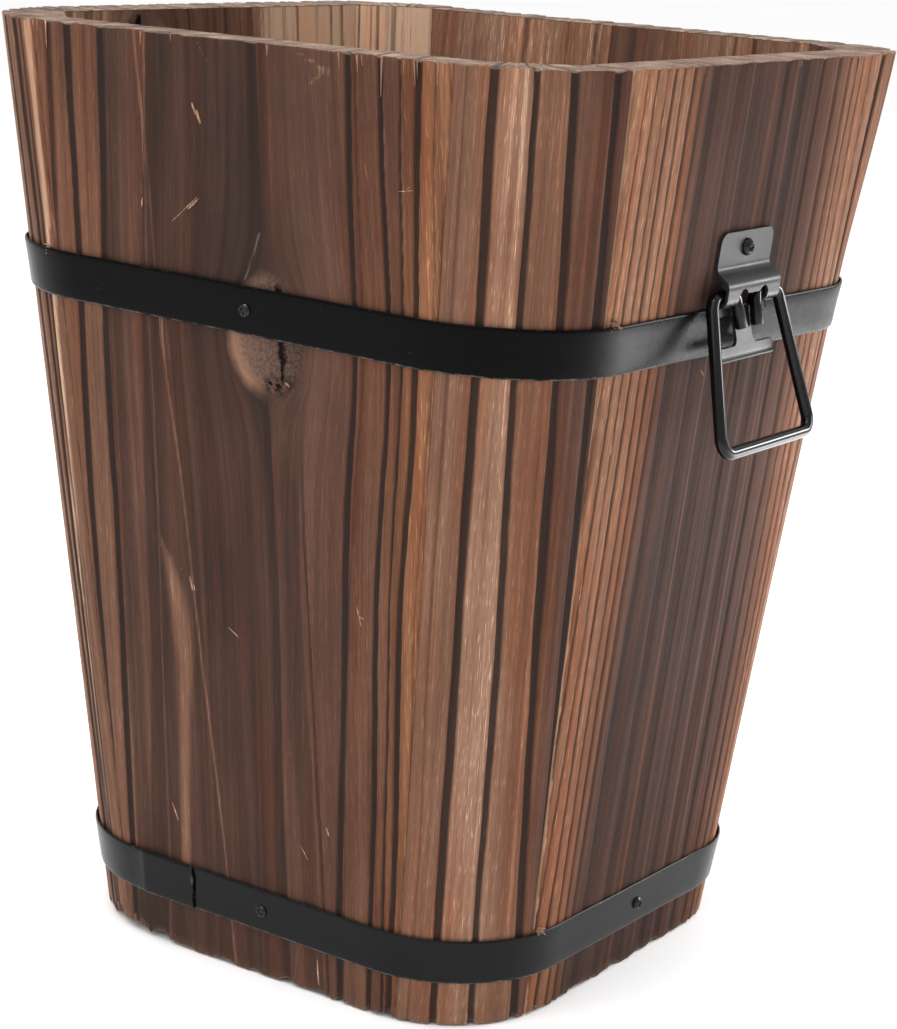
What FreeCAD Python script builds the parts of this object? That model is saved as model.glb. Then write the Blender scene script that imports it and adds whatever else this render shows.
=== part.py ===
import FreeCAD, Part
import math
import os
import Sketcher

# Wooden bucket planter, millimetres. +Z is up, the origin is under the middle of the base, the front wall
# faces -Y and the handles are on the +X and -X walls.

LENGTHS = {
    # Staves
    "top_width": 230.0,           # outside, across the rim
    "base_width": 171.0,          # outside, across the foot
    "height": 300.0,
    "wall": 17.0,                 # board thickness, measured level
    "top_round": 44.0,            # outside corner radius at the rim
    "base_round": 41.0,           # outside corner radius at the foot
    "top_tail": 7.0,              # how far the corner round runs onto the boards at the rim
    "base_tail": 10.0,            # the same at the foot
    # Floor of the bucket
    "plank_rise": 14.0,           # underside of the planks above the ground
    "plank_thick": 12.0,
    "plank_gap": 1.5,             # between the two planks
    "plank_fit": 0.4,             # planks to walls
    "drain_width": 12.0,
    "drain_inset": 26.0,          # drain hole from the planks' joint
    "nail_shank": 2.0,
    "nail_length": 32.0,
    "nail_head": 4.5,
    "nail_head_thick": 0.8,
    "nail_spread": 60.0,          # between the two nails of a wall
    "nail_fit": 0.05,             # room round a nail
    # Bands
    "band_width": 15.0,
    "band_thick": 0.8,
    "band_fit": 0.05,             # band to wood
    "upper_band_top": 226.7,
    "lower_band_top": 30.5,
    "lap_length": 20.0,           # where the strip's ends overlap
    "lap_end": 24.0,              # visible end of the lap from the middle of the wall
    # Band screws
    "screw_shank": 2.4,
    "screw_length": 12.0,         # in the wood
    "screw_head": 4.2,
    "screw_head_high": 1.4,
    "screw_point": 3.0,
    "screw_offset": 4.0,          # to the right of the middle of the wall
    "screw_fit": 0.05,
    # Handle bracket, measured from the bail's axis and from the wall
    "handle_offset": 2.5,         # to the right of the middle of the wall
    "handle_above_band": 2.6,
    "bracket_width": 33.0,
    "sheet": 1.0,
    "tab_top": 19.3,
    "tab_round": 3.6,             # corners of the tab
    "step_top": 9.2,
    "step_round": 3.2,            # bend radius at the middle of the sheet
    "bar_stand": 2.9,             # bail's axis from the wall
    "bar_fit": 0.3,               # bail to bracket
    "hood_edge": 1.0,             # lower edge of the hood above the axis
    "window_width": 18.0,
    "notch_fit": 0.7,             # beside a stub in its notch
    "notch_room": 0.55,           # above a stub in its notch
    "notch_shift": 0.3,           # notch outside of its stub
    "strip": 1.8,                 # strip across below the window
    "waist_width": 10.0,
    "waist_round": 1.2,
    "tail_round": 2.5,            # hollow curve from the waist to the lip
    "lip_drop": 17.6,
    "lip_high": 2.2,
    "lip_round": 4.0,
    "handle_screw_rise": 14.0,
    "handle_screw_shank": 3.0,
    "handle_screw_length": 14.0,
    "handle_screw_head": 5.5,
    "handle_screw_head_high": 2.0,
    # Bail
    "wire": 4.0,
    "bail_drop": 46.6,
    "bail_round": 4.5,            # bend radius at the middle of the wire
    "bar_end_fit": 0.4,           # straight bar past each end of the bracket
    "stub_spread": 12.0,          # between the two turned-down ends
    "stub_length": 10.5,
    "elbow_round": 2.5,
}

ANGLES = {
    "step_slope": 62.0,           # hood's step from the wall
    "lip_turn": 30.0,
    "rest_tilt": 15.0,            # bail from plumb when it rests on the bracket
    "leg_splay": 9.8,             # bail's legs from plumb
    "stub_lean": 7.0,             # turned-down ends towards each other
}


class Size:
    """A formula over the sheet's cells, with the number that it gives."""

    def __init__(self, text, number):
        self.text = text
        self.number = number

    def __add__(self, other):
        other = formula(other)
        return Size("(%s + %s)" % (self.text, other.text), self.number + other.number)

    def __sub__(self, other):
        other = formula(other)
        return Size("(%s - %s)" % (self.text, other.text), self.number - other.number)

    def __mul__(self, other):
        other = formula(other)
        return Size("(%s * %s)" % (self.text, other.text), self.number * other.number)

    def __truediv__(self, other):
        other = formula(other)
        return Size("(%s / %s)" % (self.text, other.text), self.number / other.number)

    def __neg__(self):
        return Size("(-1 * %s)" % self.text, -self.number)


def formula(thing):
    return thing if isinstance(thing, Size) else Size(repr(float(thing)), float(thing))


def sine(angle):
    return Size("sin(%s)" % angle.text, math.sin(math.radians(angle.number)))


def cosine(angle):
    return Size("cos(%s)" % angle.text, math.cos(math.radians(angle.number)))


def tangent(angle):
    return Size("tan(%s)" % angle.text, math.tan(math.radians(angle.number)))


def arc_tangent(ratio):
    return Size("atan(%s)" % ratio.text, math.degrees(math.atan(ratio.number)))


def root(square):
    return Size("sqrt(%s)" % square.text, math.sqrt(square.number))


# The sheet of driving dimensions
doc = FreeCAD.newDocument("bucket_planter")
sheet = doc.addObject("Spreadsheet::Sheet", "Sizes")
size = {}
for row, (name, number) in enumerate(list(LENGTHS.items()) + list(ANGLES.items()), start=1):
    cell = "A%d" % row
    sheet.set(cell, repr(number))
    sheet.setAlias(cell, name)
    unit = "Sizes.%s" if name in LENGTHS else "(Sizes.%s * 1 deg)"
    size[name] = Size(unit % name, number)
doc.recompute()

zero = formula(0)
quarter_turn = Size("90 deg", 90.0)
lean = arc_tangent((size["top_width"] - size["base_width"]) / (size["height"] * 2))
overrun = 1.0                     # how far a cutter reaches past a face
near = 0.01                       # how close two points count as level
head_rim = 0.45                   # straight part of a screw's head, as a share of its height


def half_at(z):
    """Half the outside width at a height."""
    return (size["base_width"] + (size["top_width"] - size["base_width"]) * z / size["height"]) / 2


def round_at(z):
    """Outside corner radius at a height."""
    return size["base_round"] + (size["top_round"] - size["base_round"]) * z / size["height"]


def tail_at(z):
    """How far the corner round runs onto a board at a height."""
    return size["base_tail"] + (size["top_tail"] - size["base_tail"]) * z / size["height"]


def edge_at(z):
    """Half the width of a board at a height: where it meets a corner stave."""
    return half_at(z) - round_at(z) + tail_at(z)


def arris_at(z):
    """How far out the corner round stands at that joint, from the axis of the bucket."""
    radius = round_at(z)
    tail = tail_at(z)
    return half_at(z) - radius + root(radius * radius - tail * tail)


# Drawing helpers
def origin_item(body, role):
    return [item for item in body.Origin.OriginFeatures if item.Role == role][0]


def new_body(name):
    return doc.addObject("PartDesign::Body", name)


def bind(item, prop, value):
    item.setExpression(prop, value.text)


def attach(item, body, role, at=(zero, zero, zero), axis=(0, 0, 1), angle=None):
    """Fix a sketch or a cutter to one of its body's origin planes, moved and turned in that frame."""
    item.AttachmentSupport = (origin_item(body, role), "")
    item.MapMode = "FlatFace"
    turn = 0.0 if angle is None else angle.number
    place = FreeCAD.Vector(*[value.number for value in at])
    item.AttachmentOffset = FreeCAD.Placement(place, FreeCAD.Rotation(FreeCAD.Vector(*axis), turn))
    for letter, value in zip("xyz", at):
        bind(item, "AttachmentOffset.Base." + letter, value)
    if angle is not None:
        bind(item, "AttachmentOffset.Rotation.Angle", angle)


def arc_between(start, end, radius, side):
    """The arc from start to end, with its centre on the left (side 1) or the right (side -1) of the way."""
    middle = (start + end) / 2
    along = end - start
    reach = math.sqrt(max(radius * radius - along.Length ** 2 / 4, 0.0))
    normal = FreeCAD.Vector(-along.y, along.x, 0).normalize()
    centre = middle + normal * (reach * side)
    first, last = (start, end) if side > 0 else (end, start)
    angles = [math.atan2(point.y - centre.y, point.x - centre.x) for point in (first, last)]
    if angles[1] < angles[0]:
        angles[1] += 2 * math.pi
    circle = Part.Circle(centre, FreeCAD.Vector(0, 0, 1), radius)
    return Part.ArcOfCircle(circle, angles[0], angles[1])


def outline(body, name, role, corners, rounds=None, closed=True, **place):
    """A sketch through corners; rounds gives (radius, side) for the edges that are arcs."""
    sketch = body.newObject("Sketcher::SketchObject", name)
    attach(sketch, body, role, **place)
    rounds = rounds or {}
    count = len(corners) if closed else len(corners) - 1
    points = [FreeCAD.Vector(x.number, y.number, 0) for x, y in corners]
    ends = []
    for index in range(count):
        start = points[index]
        end = points[(index + 1) % len(points)]
        if index in rounds:
            radius, side = rounds[index]
            edge = sketch.addGeometry(arc_between(start, end, radius.number, side), False)
            ends.append((edge, 1, 2) if side > 0 else (edge, 2, 1))
            rule = sketch.addConstraint(Sketcher.Constraint("Radius", edge, radius.number))
            bind(sketch, "Constraints[%d]" % rule, radius)
        else:
            edge = sketch.addGeometry(Part.LineSegment(start, end), False)
            ends.append((edge, 1, 2))
    for index in range(count if closed else count - 1):
        edge, _, last = ends[index]
        follower, first, _ = ends[(index + 1) % count]
        sketch.addConstraint(Sketcher.Constraint("Coincident", edge, last, follower, first))
    for index, (x, y) in enumerate(corners):
        edge, mark = ends[index][:2] if index < count else (ends[-1][0], ends[-1][2])
        for kind, value in (("DistanceX", x), ("DistanceY", y)):
            rule = sketch.addConstraint(Sketcher.Constraint(kind, -1, 1, edge, mark, value.number))
            bind(sketch, "Constraints[%d]" % rule, value)
    return sketch


def loft(body, name, draw, low, high, kind="PartDesign::AdditiveLoft"):
    """A straight-sided solid between the outlines that draw gives at two heights."""
    sections = []
    for label, z in (("foot", low), ("head", high)):
        corners, rounds = draw(z)
        section = outline(body, "%s_%s" % (name, label), "XY_Plane", corners, rounds, at=(zero, zero, z))
        sections.append(section)
    doc.recompute()
    solid = body.newObject(kind, name)
    solid.Profile = sections[0]
    solid.Sections = sections[1:]
    solid.Ruled = True
    body.Tip = solid
    doc.recompute()
    return solid


def wall_hole(body, name, x, z, radius, depth):
    """A round hole square to the front wall, from its outside."""
    hole = body.newObject("PartDesign::SubtractiveCylinder", name)
    start = (x, -half_at(z) - cosine(lean) * overrun, z - sine(lean) * overrun)
    attach(hole, body, "XY_Plane", at=start, axis=(1, 0, 0), angle=lean - quarter_turn)
    bind(hole, "Radius", radius)
    bind(hole, "Height", depth + overrun)
    body.Tip = hole
    doc.recompute()
    return hole


def wall_profile(body, name, x, z, corners, rounds=None):
    """A sketch whose x runs into the front wall, square to it, from the wall's outside."""
    place = (-half_at(z), z, x)
    return outline(body, name, "YZ_Plane", corners, rounds, at=place, angle=lean)


def stepped_hole(body, name, x, z, seat, seat_deep, bore, deep):
    """A hole for a nail and its sunk head."""
    start = formula(-overrun)
    corners = [(start, zero), (deep, zero), (deep, bore), (seat_deep, bore), (seat_deep, seat), (start, seat)]
    profile = wall_profile(body, name + "_profile", x, z, corners)
    doc.recompute()
    hole = body.newObject("PartDesign::Groove", name)
    hole.Profile = profile
    hole.ReferenceAxis = (profile, ["H_Axis"])
    hole.Angle = 360
    body.Tip = hole
    doc.recompute()
    return hole


def ring_of(body, features, count):
    """Features repeated round the bucket."""
    pattern = body.newObject("PartDesign::PolarPattern", body.Name + "_ring")
    pattern.Originals = features
    pattern.Axis = (origin_item(body, "Z_Axis"), [""])
    pattern.Angle = 360
    pattern.Occurrences = int(count)
    body.Tip = pattern
    doc.recompute()
    return pattern


def revolve(body, profile):
    solid = body.newObject("PartDesign::Revolution", profile.Name + "_turned")
    solid.Profile = profile
    solid.ReferenceAxis = (profile, ["H_Axis"])
    solid.Angle = 360
    body.Tip = solid
    doc.recompute()
    return solid


def turn_about_z(body, degrees):
    body.Placement = FreeCAD.Placement(FreeCAD.Vector(), FreeCAD.Rotation(FreeCAD.Vector(0, 0, 1), degrees))


# Heights that several pieces share
band_high = size["band_width"] * cosine(lean)
band_seat = (size["band_fit"] + size["band_thick"]) * cosine(lean)
upper_screw_z = size["upper_band_top"] - band_high / 2
lower_screw_z = size["lower_band_top"] - band_high / 2
nail_z = size["plank_rise"] + size["plank_thick"] / 2 - size["wall"] * tangent(lean)
handle_z = size["upper_band_top"] + size["handle_above_band"]
handle_screw_z = handle_z + size["handle_screw_rise"] * cosine(lean)
bail_axis_x = half_at(handle_z) + size["bar_stand"] * cosine(lean)
bail_axis_z = handle_z - size["bar_stand"] * sine(lean)
screw_bore = size["screw_shank"] / 2 + size["screw_fit"]
handle_screw_bore = size["handle_screw_shank"] / 2 + size["screw_fit"]
nail_bore = size["nail_shank"] / 2 + size["nail_fit"]


# Wide boards, drawn as the front wall and turned to their side
def board_outline(z, left_end, right_end):
    half = half_at(z)
    edge = edge_at(z)
    flat = half - round_at(z)
    inner = half - size["wall"]
    corners = []
    rounds = {}
    corners.append((-flat if left_end else zero, -half))
    if right_end:
        corners.append((flat, -half))
        rounds[len(corners) - 1] = (round_at(z), 1)
        corners.append((edge, -arris_at(z)))
        corners.append((edge, -inner))
    else:
        corners.append((zero, -half))
        corners.append((zero, -inner))
    if left_end:
        corners.append((-edge, -inner))
        corners.append((-edge, -arris_at(z)))
        rounds[len(corners) - 1] = (round_at(z), 1)
    else:
        corners.append((zero, -inner))
    return corners, rounds


def board(name, turn, screws, left_end=True, right_end=True):
    body = new_body(name)
    loft(body, name + "_blank", lambda z: board_outline(z, left_end, right_end), zero, size["height"])
    for number, (x, z, bore, depth) in enumerate(screws, start=1):
        wall_hole(body, "%s_pilot_%d" % (name, number), x, z, bore, depth + overrun)
    spread = size["nail_spread"] / 2
    for x, there in ((-spread, left_end), (spread, right_end)):
        if there:
            seat = size["nail_head"] / 2 + size["nail_fit"]
            seat_deep = size["nail_head_thick"] + size["nail_fit"]
            deep = size["nail_length"]
            stepped_hole(body, name + "_nail_hole", x, nail_z, seat, seat_deep, nail_bore, deep)
    turn_about_z(body, turn)
    return body


upper_pilot = (size["screw_offset"], upper_screw_z, screw_bore, size["screw_length"])
lower_pilot = (size["screw_offset"], lower_screw_z, screw_bore, size["screw_length"])
handle_pilot = (size["handle_offset"], handle_screw_z, handle_screw_bore, size["handle_screw_length"])
nodes = []
nodes.append(board("front_board", 0, [upper_pilot, lower_pilot]))
nodes.append(board("right_board", 90, [handle_pilot, lower_pilot]))
nodes.append(board("left_board", 270, [handle_pilot, lower_pilot]))
nodes.append(board("back_left_board", 180, [upper_pilot, lower_pilot], left_end=False))
nodes.append(board("back_right_board", 180, [], right_end=False))


# Corner staves, drawn at the front right corner
def stave_outline(z):
    edge = edge_at(z)
    inner = half_at(z) - size["wall"]
    arris = arris_at(z)
    corners = [(edge, -arris), (arris, -edge), (inner, -edge), (edge, -inner)]
    return corners, {0: (round_at(z), 1)}


for name, turn in (("front_right_stave", 0), ("back_right_stave", 90),
                   ("back_left_stave", 180), ("front_left_stave", 270)):
    stave = new_body(name)
    loft(stave, name + "_blank", stave_outline, zero, size["height"])
    turn_about_z(stave, turn)
    nodes.append(stave)


# Floor planks, cut to the bucket's inside
def plank_outline(z):
    reach = half_at(z) - size["wall"] - size["plank_fit"]
    corner = edge_at(z) - size["plank_fit"]
    back = -size["plank_gap"] / 2
    corners = [(-reach, back), (-reach, -corner), (-corner, -reach)]
    corners.extend([(corner, -reach), (reach, -corner), (reach, back)])
    return corners, {}


plank_top = size["plank_rise"] + size["plank_thick"]
for name, turn in (("bottom_plank_front", 0), ("bottom_plank_rear", 180)):
    plank = new_body(name)
    loft(plank, name + "_blank", plank_outline, size["plank_rise"], plank_top)
    drain = plank.newObject("PartDesign::SubtractiveCylinder", name + "_drain")
    attach(drain, plank, "XY_Plane", at=(zero, -size["drain_inset"], size["plank_rise"] - overrun))
    bind(drain, "Radius", size["drain_width"] / 2)
    bind(drain, "Height", size["plank_thick"] + 2 * overrun)
    plank.Tip = drain
    doc.recompute()
    for side in (-1, 1):
        x = size["nail_spread"] / 2 * side
        wall_hole(plank, name + "_front_nail", x, nail_z, nail_bore, size["nail_length"] + overrun)
        end = plank.newObject("PartDesign::SubtractiveCylinder", name + "_end_nail")
        outside = (half_at(nail_z) + cosine(lean) * overrun) * side
        start = (outside, -size["nail_spread"] / 2, nail_z - sine(lean) * overrun)
        attach(end, plank, "XY_Plane", at=start, axis=(0, 1, 0), angle=(lean - quarter_turn) * side)
        bind(end, "Radius", nail_bore)
        bind(end, "Height", size["nail_length"] + 2 * overrun)
        plank.Tip = end
        doc.recompute()
    turn_about_z(plank, turn)
    nodes.append(plank)


# Fasteners
def nail_corners():
    shank = size["nail_shank"] / 2
    head = size["nail_head"] / 2
    tip = size["nail_length"]
    return [(zero, zero), (tip, zero), (tip - size["nail_shank"], shank), (size["nail_head_thick"], shank),
            (size["nail_head_thick"], head), (zero, head)]


def pan_head_screw(seat, length, point, shank, head, high):
    """Corners and rounds of a pan head screw, whose head sits at -seat."""
    rim = high * head_rim
    dome = high - rim
    radius = (dome * dome + head * head / 4) / (dome * 2)
    corners = [(-seat - high, zero), (length, zero), (length - point, shank / 2), (-seat, shank / 2),
               (-seat, head / 2), (-seat - rim, head / 2)]
    return corners, {5: (radius, 1)}


nails = new_body("bottom_nails")
pair = []
for side in (-1, 1):
    x = size["nail_spread"] / 2 * side
    pair.append(revolve(nails, wall_profile(nails, "nail_profile", x, nail_z, nail_corners())))
ring_of(nails, pair, 4)
nodes.append(nails)

band_screw, band_screw_rounds = pan_head_screw(
    band_seat, size["screw_length"], size["screw_point"], size["screw_shank"],
    size["screw_head"], size["screw_head_high"])
for name, z, count in (("upper_band_screws", upper_screw_z, 2), ("lower_band_screws", lower_screw_z, 4)):
    screws = new_body(name)
    profile = wall_profile(screws, name + "_profile", size["screw_offset"], z, band_screw, band_screw_rounds)
    ring_of(screws, [revolve(screws, profile)], count)
    nodes.append(screws)


# Bands: a ring that follows the leaning walls, with the strip's end lapped over it
def ring_outline(z, growth):
    half = half_at(z) + growth
    flat = half_at(z) - round_at(z)
    corners = []
    for x, y in ((-1, -1), (1, -1), (1, 1), (-1, 1)):
        first = (flat * x, half * y)
        second = (half * x, flat * y)
        corners.extend([second, first] if x == y else [first, second])
    radius = round_at(z) + growth
    return corners, {index: (radius, 1) for index in (0, 2, 4, 6)}


def lap_outline(z):
    inner = half_at(z) + size["band_fit"] + size["band_thick"] / 2
    outer = half_at(z) + size["band_fit"] + size["band_thick"] * 2
    right = -size["lap_end"]
    left = right - size["lap_length"]
    return [(left, -outer), (right, -outer), (right, -inner), (left, -inner)], {}


def band(name, top, screw_z, screw_count, turn):
    body = new_body(name)
    low = top - band_high
    inside = size["band_fit"]
    outside = size["band_fit"] + size["band_thick"]
    loft(body, name + "_outside", lambda z: ring_outline(z, outside), low, top)
    loft(body, name + "_inside", lambda z: ring_outline(z, inside), low - overrun, top + overrun,
         "PartDesign::SubtractiveLoft")
    loft(body, name + "_lap", lap_outline, low, top)
    hole = wall_hole(body, name + "_screw_hole", size["screw_offset"], screw_z, screw_bore, size["wall"])
    ring_of(body, [hole], screw_count)
    turn_about_z(body, turn)
    return body


nodes.append(band("upper_band", size["upper_band_top"], upper_screw_z, 2, 180))
nodes.append(band("lower_band", size["lower_band_top"], lower_screw_z, 4, 0))


# Handles, drawn on an upright wall that faces +X, with the bail's axis at height zero
curl = size["wire"] / 2 + size["bar_fit"] + size["sheet"] / 2
flare = lean + size["rest_tilt"]
return_round = curl * (formula(1) - sine(flare)) / (formula(1) + sine(flare))
window_low = -(curl + return_round) - return_round * sine(flare)


def place_on_wall(body, side, outward, along, up, angle):
    """Stand a handle piece on the right (1) or left (-1) wall, turned about its level axis."""
    if side > 0:
        turn = FreeCAD.Rotation(FreeCAD.Vector(0, 1, 0), angle.number)
        body.Placement = FreeCAD.Placement(FreeCAD.Vector(), turn)
        bind(body, "Placement.Rotation.Angle", angle)
    else:
        axis = (-sine(angle / 2), cosine(angle / 2))
        turn = FreeCAD.Rotation(FreeCAD.Vector(axis[0].number, 0, axis[1].number), 180)
        body.Placement = FreeCAD.Placement(FreeCAD.Vector(), turn)
        bind(body, "Placement.Rotation.Axis.x", axis[0])
        bind(body, "Placement.Rotation.Axis.z", axis[1])
    for letter, value in zip("xyz", (outward * side, along * side, up)):
        bind(body, "Placement.Base." + letter, value)


def bracket_path():
    """Middle line of the bracket's sheet, from the tab down over the bail's bar to the lip."""
    middle = size["sheet"] / 2
    bend = size["step_round"]
    slope = size["step_slope"]
    front = size["bar_stand"] + curl
    run = (front - middle - bend * 2 * (formula(1) - cosine(slope))) / sine(slope)
    hood_top = size["step_top"] - bend * 2 * sine(slope) - run * cosine(slope)
    swing = bend * (formula(1) - cosine(slope))
    rise = bend * sine(slope)
    corners = [(middle, size["tab_top"]), (middle, size["step_top"])]
    corners.append((middle + swing, size["step_top"] - rise))
    corners.append((front - swing, hood_top + rise))
    corners.append((front, hood_top))
    corners.append((front, zero))
    corners.append((size["bar_stand"], -curl))
    start = size["bar_stand"] - return_round * cosine(flare)
    corners.append((start, window_low))
    fall = (size["lip_drop"] + window_low) / cosine(flare)
    lip = start + fall * sine(flare)
    corners.append((lip, -size["lip_drop"]))
    turned = flare + size["lip_turn"]
    tip_out = size["lip_round"] * (cosine(flare) - cosine(turned))
    tip_up = size["lip_round"] * (sine(flare) - sine(turned))
    corners.append((lip + tip_out, tip_up - size["lip_drop"]))
    rounds = {1: (bend, 1), 3: (bend, -1), 5: (curl, -1), 6: (return_round, 1), 8: (size["lip_round"], 1)}
    return corners, rounds


def waist_corners():
    """The cut beside the waist of the bracket's tail, on the +Y side."""
    beside = size["bracket_width"] / 2 + overrun
    waist = size["waist_width"] / 2
    top = window_low - size["strip"]
    low = size["lip_high"] - size["lip_drop"]
    corners = [(beside, top), (waist + size["waist_round"], top), (waist, top - size["waist_round"]),
               (waist, low + size["tail_round"]), (waist + size["tail_round"], low), (beside, low)]
    return corners, {1: (size["waist_round"], 1), 3: (size["tail_round"], 1)}


def bracket(name, side):
    body = new_body(name)
    corners, rounds = bracket_path()
    path = outline(body, name + "_path", "XZ_Plane", corners, rounds, closed=False)
    half = size["bracket_width"] / 2
    strip = [(zero, -half), (size["sheet"], -half), (size["sheet"], half), (zero, half)]
    section = outline(body, name + "_strip", "XY_Plane", strip, at=(zero, zero, size["tab_top"]))
    doc.recompute()
    sheet_metal = body.newObject("PartDesign::AdditivePipe", name + "_bent")
    sheet_metal.Profile = section
    sheet_metal.Spine = (path, [])
    body.Tip = sheet_metal
    doc.recompute()

    corners_of_tab = []
    for index, edge in enumerate(sheet_metal.Shape.Edges, start=1):
        level = [vertex.Point.z > size["tab_top"].number - near for vertex in edge.Vertexes]
        across = abs(edge.Vertexes[0].Point.y - edge.Vertexes[-1].Point.y) < near
        if all(level) and across:
            corners_of_tab.append("Edge%d" % index)
    rounded = body.newObject("PartDesign::Fillet", name + "_tab_corners")
    rounded.Base = (sheet_metal, corners_of_tab)
    bind(rounded, "Radius", size["tab_round"])
    body.Tip = rounded
    doc.recompute()

    window = body.newObject("PartDesign::SubtractiveBox", name + "_window")
    attach(window, body, "XY_Plane", at=(zero, -size["window_width"] / 2, window_low))
    bind(window, "Length", size["bar_stand"] + curl + size["sheet"])
    bind(window, "Width", size["window_width"])
    bind(window, "Height", size["hood_edge"] - window_low)
    body.Tip = window
    doc.recompute()

    notch_radius = size["wire"] / 2 + size["notch_fit"]
    notch_z = size["wire"] / 2 + size["notch_room"] - notch_radius
    notch_y = size["stub_spread"] / 2 + size["notch_shift"]
    bores = [(notch_y * mark, notch_z, notch_radius, size["bar_stand"]) for mark in (-1, 1)]
    bores.append((zero, size["handle_screw_rise"], handle_screw_bore, formula(-overrun)))
    for y, z, radius, start in bores:
        bore = body.newObject("PartDesign::SubtractiveCylinder", name + "_bore")
        attach(bore, body, "XY_Plane", at=(start, y, z), axis=(0, 1, 0), angle=quarter_turn)
        bind(bore, "Radius", radius)
        bind(bore, "Height", curl + size["sheet"] + overrun)
        body.Tip = bore
        doc.recompute()

    corners, rounds = waist_corners()
    beside = outline(body, name + "_beside_waist", "YZ_Plane", corners, rounds)
    doc.recompute()
    waist = body.newObject("PartDesign::Pocket", name + "_waist")
    waist.Profile = beside
    waist.Type = "ThroughAll"
    waist.Midplane = True
    body.Tip = waist
    doc.recompute()
    both = body.newObject("PartDesign::Mirrored", name + "_both_waists")
    both.Originals = [waist]
    both.MirrorPlane = (origin_item(body, "XZ_Plane"), [""])
    body.Tip = both
    doc.recompute()
    place_on_wall(body, side, half_at(handle_z), size["handle_offset"], handle_z, lean)
    return body


def handle_screw(name, side):
    body = new_body(name)
    corners, rounds = pan_head_screw(
        size["sheet"], size["handle_screw_length"], size["screw_point"], size["handle_screw_shank"],
        size["handle_screw_head"], size["handle_screw_head_high"])
    place = (zero, size["handle_screw_rise"], zero)
    profile = outline(body, name + "_profile", "XZ_Plane", corners, rounds, at=place, angle=quarter_turn * 2)
    revolve(body, profile)
    place_on_wall(body, side, half_at(handle_z), size["handle_offset"], handle_z, lean)
    return body


def bail_path():
    """Half of the wire's middle line, from the middle of the grip to the end of its stub."""
    bend = size["bail_round"]
    splay = size["leg_splay"]
    bar_end = size["bracket_width"] / 2 + size["bar_end_fit"]
    stub = size["stub_spread"] / 2
    elbow = size["elbow_round"]
    stub_lean = size["stub_lean"]
    elbow_low = elbow * (sine(stub_lean) - 1)
    stub_end = stub - (size["stub_length"] + elbow_low) * tangent(stub_lean)
    top_turn = (bar_end + bend * cosine(splay), bend * sine(splay) - bend)
    low_y = bend - size["bail_drop"] - bend * sine(splay)
    run = (top_turn[1] - low_y) * tangent(splay)
    low_turn = (top_turn[0] + run, low_y)
    grip = -size["bail_drop"]
    corners = [(zero, grip), (low_turn[0] - bend * cosine(splay), grip), low_turn, top_turn]
    corners.extend([(bar_end, zero), (stub + elbow * cosine(stub_lean), zero)])
    corners.extend([(stub, elbow_low), (stub_end, -size["stub_length"])])
    return corners, {1: (bend, 1), 3: (bend, 1), 5: (elbow, 1)}


def bail(name, side):
    body = new_body(name)
    corners, rounds = bail_path()
    path = outline(body, name + "_path", "YZ_Plane", corners, rounds, closed=False)
    section = body.newObject("Sketcher::SketchObject", name + "_section")
    attach(section, body, "XZ_Plane", at=(zero, -size["bail_drop"], zero))
    radius = size["wire"] / 2
    ring = section.addGeometry(Part.Circle(FreeCAD.Vector(), FreeCAD.Vector(0, 0, 1), radius.number), False)
    section.addConstraint(Sketcher.Constraint("Coincident", ring, 3, -1, 1))
    rule = section.addConstraint(Sketcher.Constraint("Radius", ring, radius.number))
    bind(section, "Constraints[%d]" % rule, radius)
    doc.recompute()
    wire = body.newObject("PartDesign::AdditivePipe", name + "_half")
    wire.Profile = section
    wire.Spine = (path, [])
    body.Tip = wire
    doc.recompute()
    whole = body.newObject("PartDesign::Mirrored", name + "_whole")
    whole.Originals = [wire]
    whole.MirrorPlane = (origin_item(body, "XZ_Plane"), [""])
    body.Tip = whole
    doc.recompute()
    place_on_wall(body, side, bail_axis_x, size["handle_offset"], bail_axis_z, -size["rest_tilt"])
    return body


for name, side in (("right", 1), ("left", -1)):
    nodes.append(bracket(name + "_handle_bracket", side))
    nodes.append(handle_screw(name + "_handle_screw", side))
    nodes.append(bail(name + "_bail", side))

doc.recompute()
for item in doc.Objects:
    if "Invalid" in item.State or "Error" in item.State:
        raise RuntimeError("%s did not build: %s" % (item.Name, item.State))
for node in nodes:
    if node.Shape.isNull() or not node.Shape.isValid():
        raise RuntimeError("%s has no valid shape" % node.Label)

os.makedirs("parts", exist_ok=True)
for node in nodes:
    node.Shape.exportStep("parts/%s.step" % node.Label)
    print("%-22s solids %d  volume %.1f" % (node.Label, len(node.Shape.Solids), node.Shape.Volume))
axis_y = size["handle_offset"]
print("bail axis x %.4f y %.4f z %.4f" % (bail_axis_x.number, axis_y.number, bail_axis_z.number))
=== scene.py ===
import random
from math import asin, atan2, copysign, cos, exp, hypot, pi, radians, sin, sqrt, tan

import bmesh
import bpy
from mathutils import Matrix, Vector, noise


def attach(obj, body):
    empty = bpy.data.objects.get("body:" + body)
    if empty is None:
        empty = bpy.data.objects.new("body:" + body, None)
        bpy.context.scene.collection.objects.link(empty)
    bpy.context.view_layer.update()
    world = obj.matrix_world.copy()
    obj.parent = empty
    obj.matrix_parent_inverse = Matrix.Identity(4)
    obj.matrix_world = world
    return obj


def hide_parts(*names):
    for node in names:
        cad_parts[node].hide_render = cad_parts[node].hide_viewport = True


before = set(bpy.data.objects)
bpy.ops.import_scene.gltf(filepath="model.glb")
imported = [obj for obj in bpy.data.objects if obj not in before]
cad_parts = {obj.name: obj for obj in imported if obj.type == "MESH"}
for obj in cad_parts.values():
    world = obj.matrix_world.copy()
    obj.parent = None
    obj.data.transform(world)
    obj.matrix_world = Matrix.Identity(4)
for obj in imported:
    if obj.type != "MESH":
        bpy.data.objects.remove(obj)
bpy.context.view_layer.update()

mm = 0.001
scene = bpy.context.scene

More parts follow.
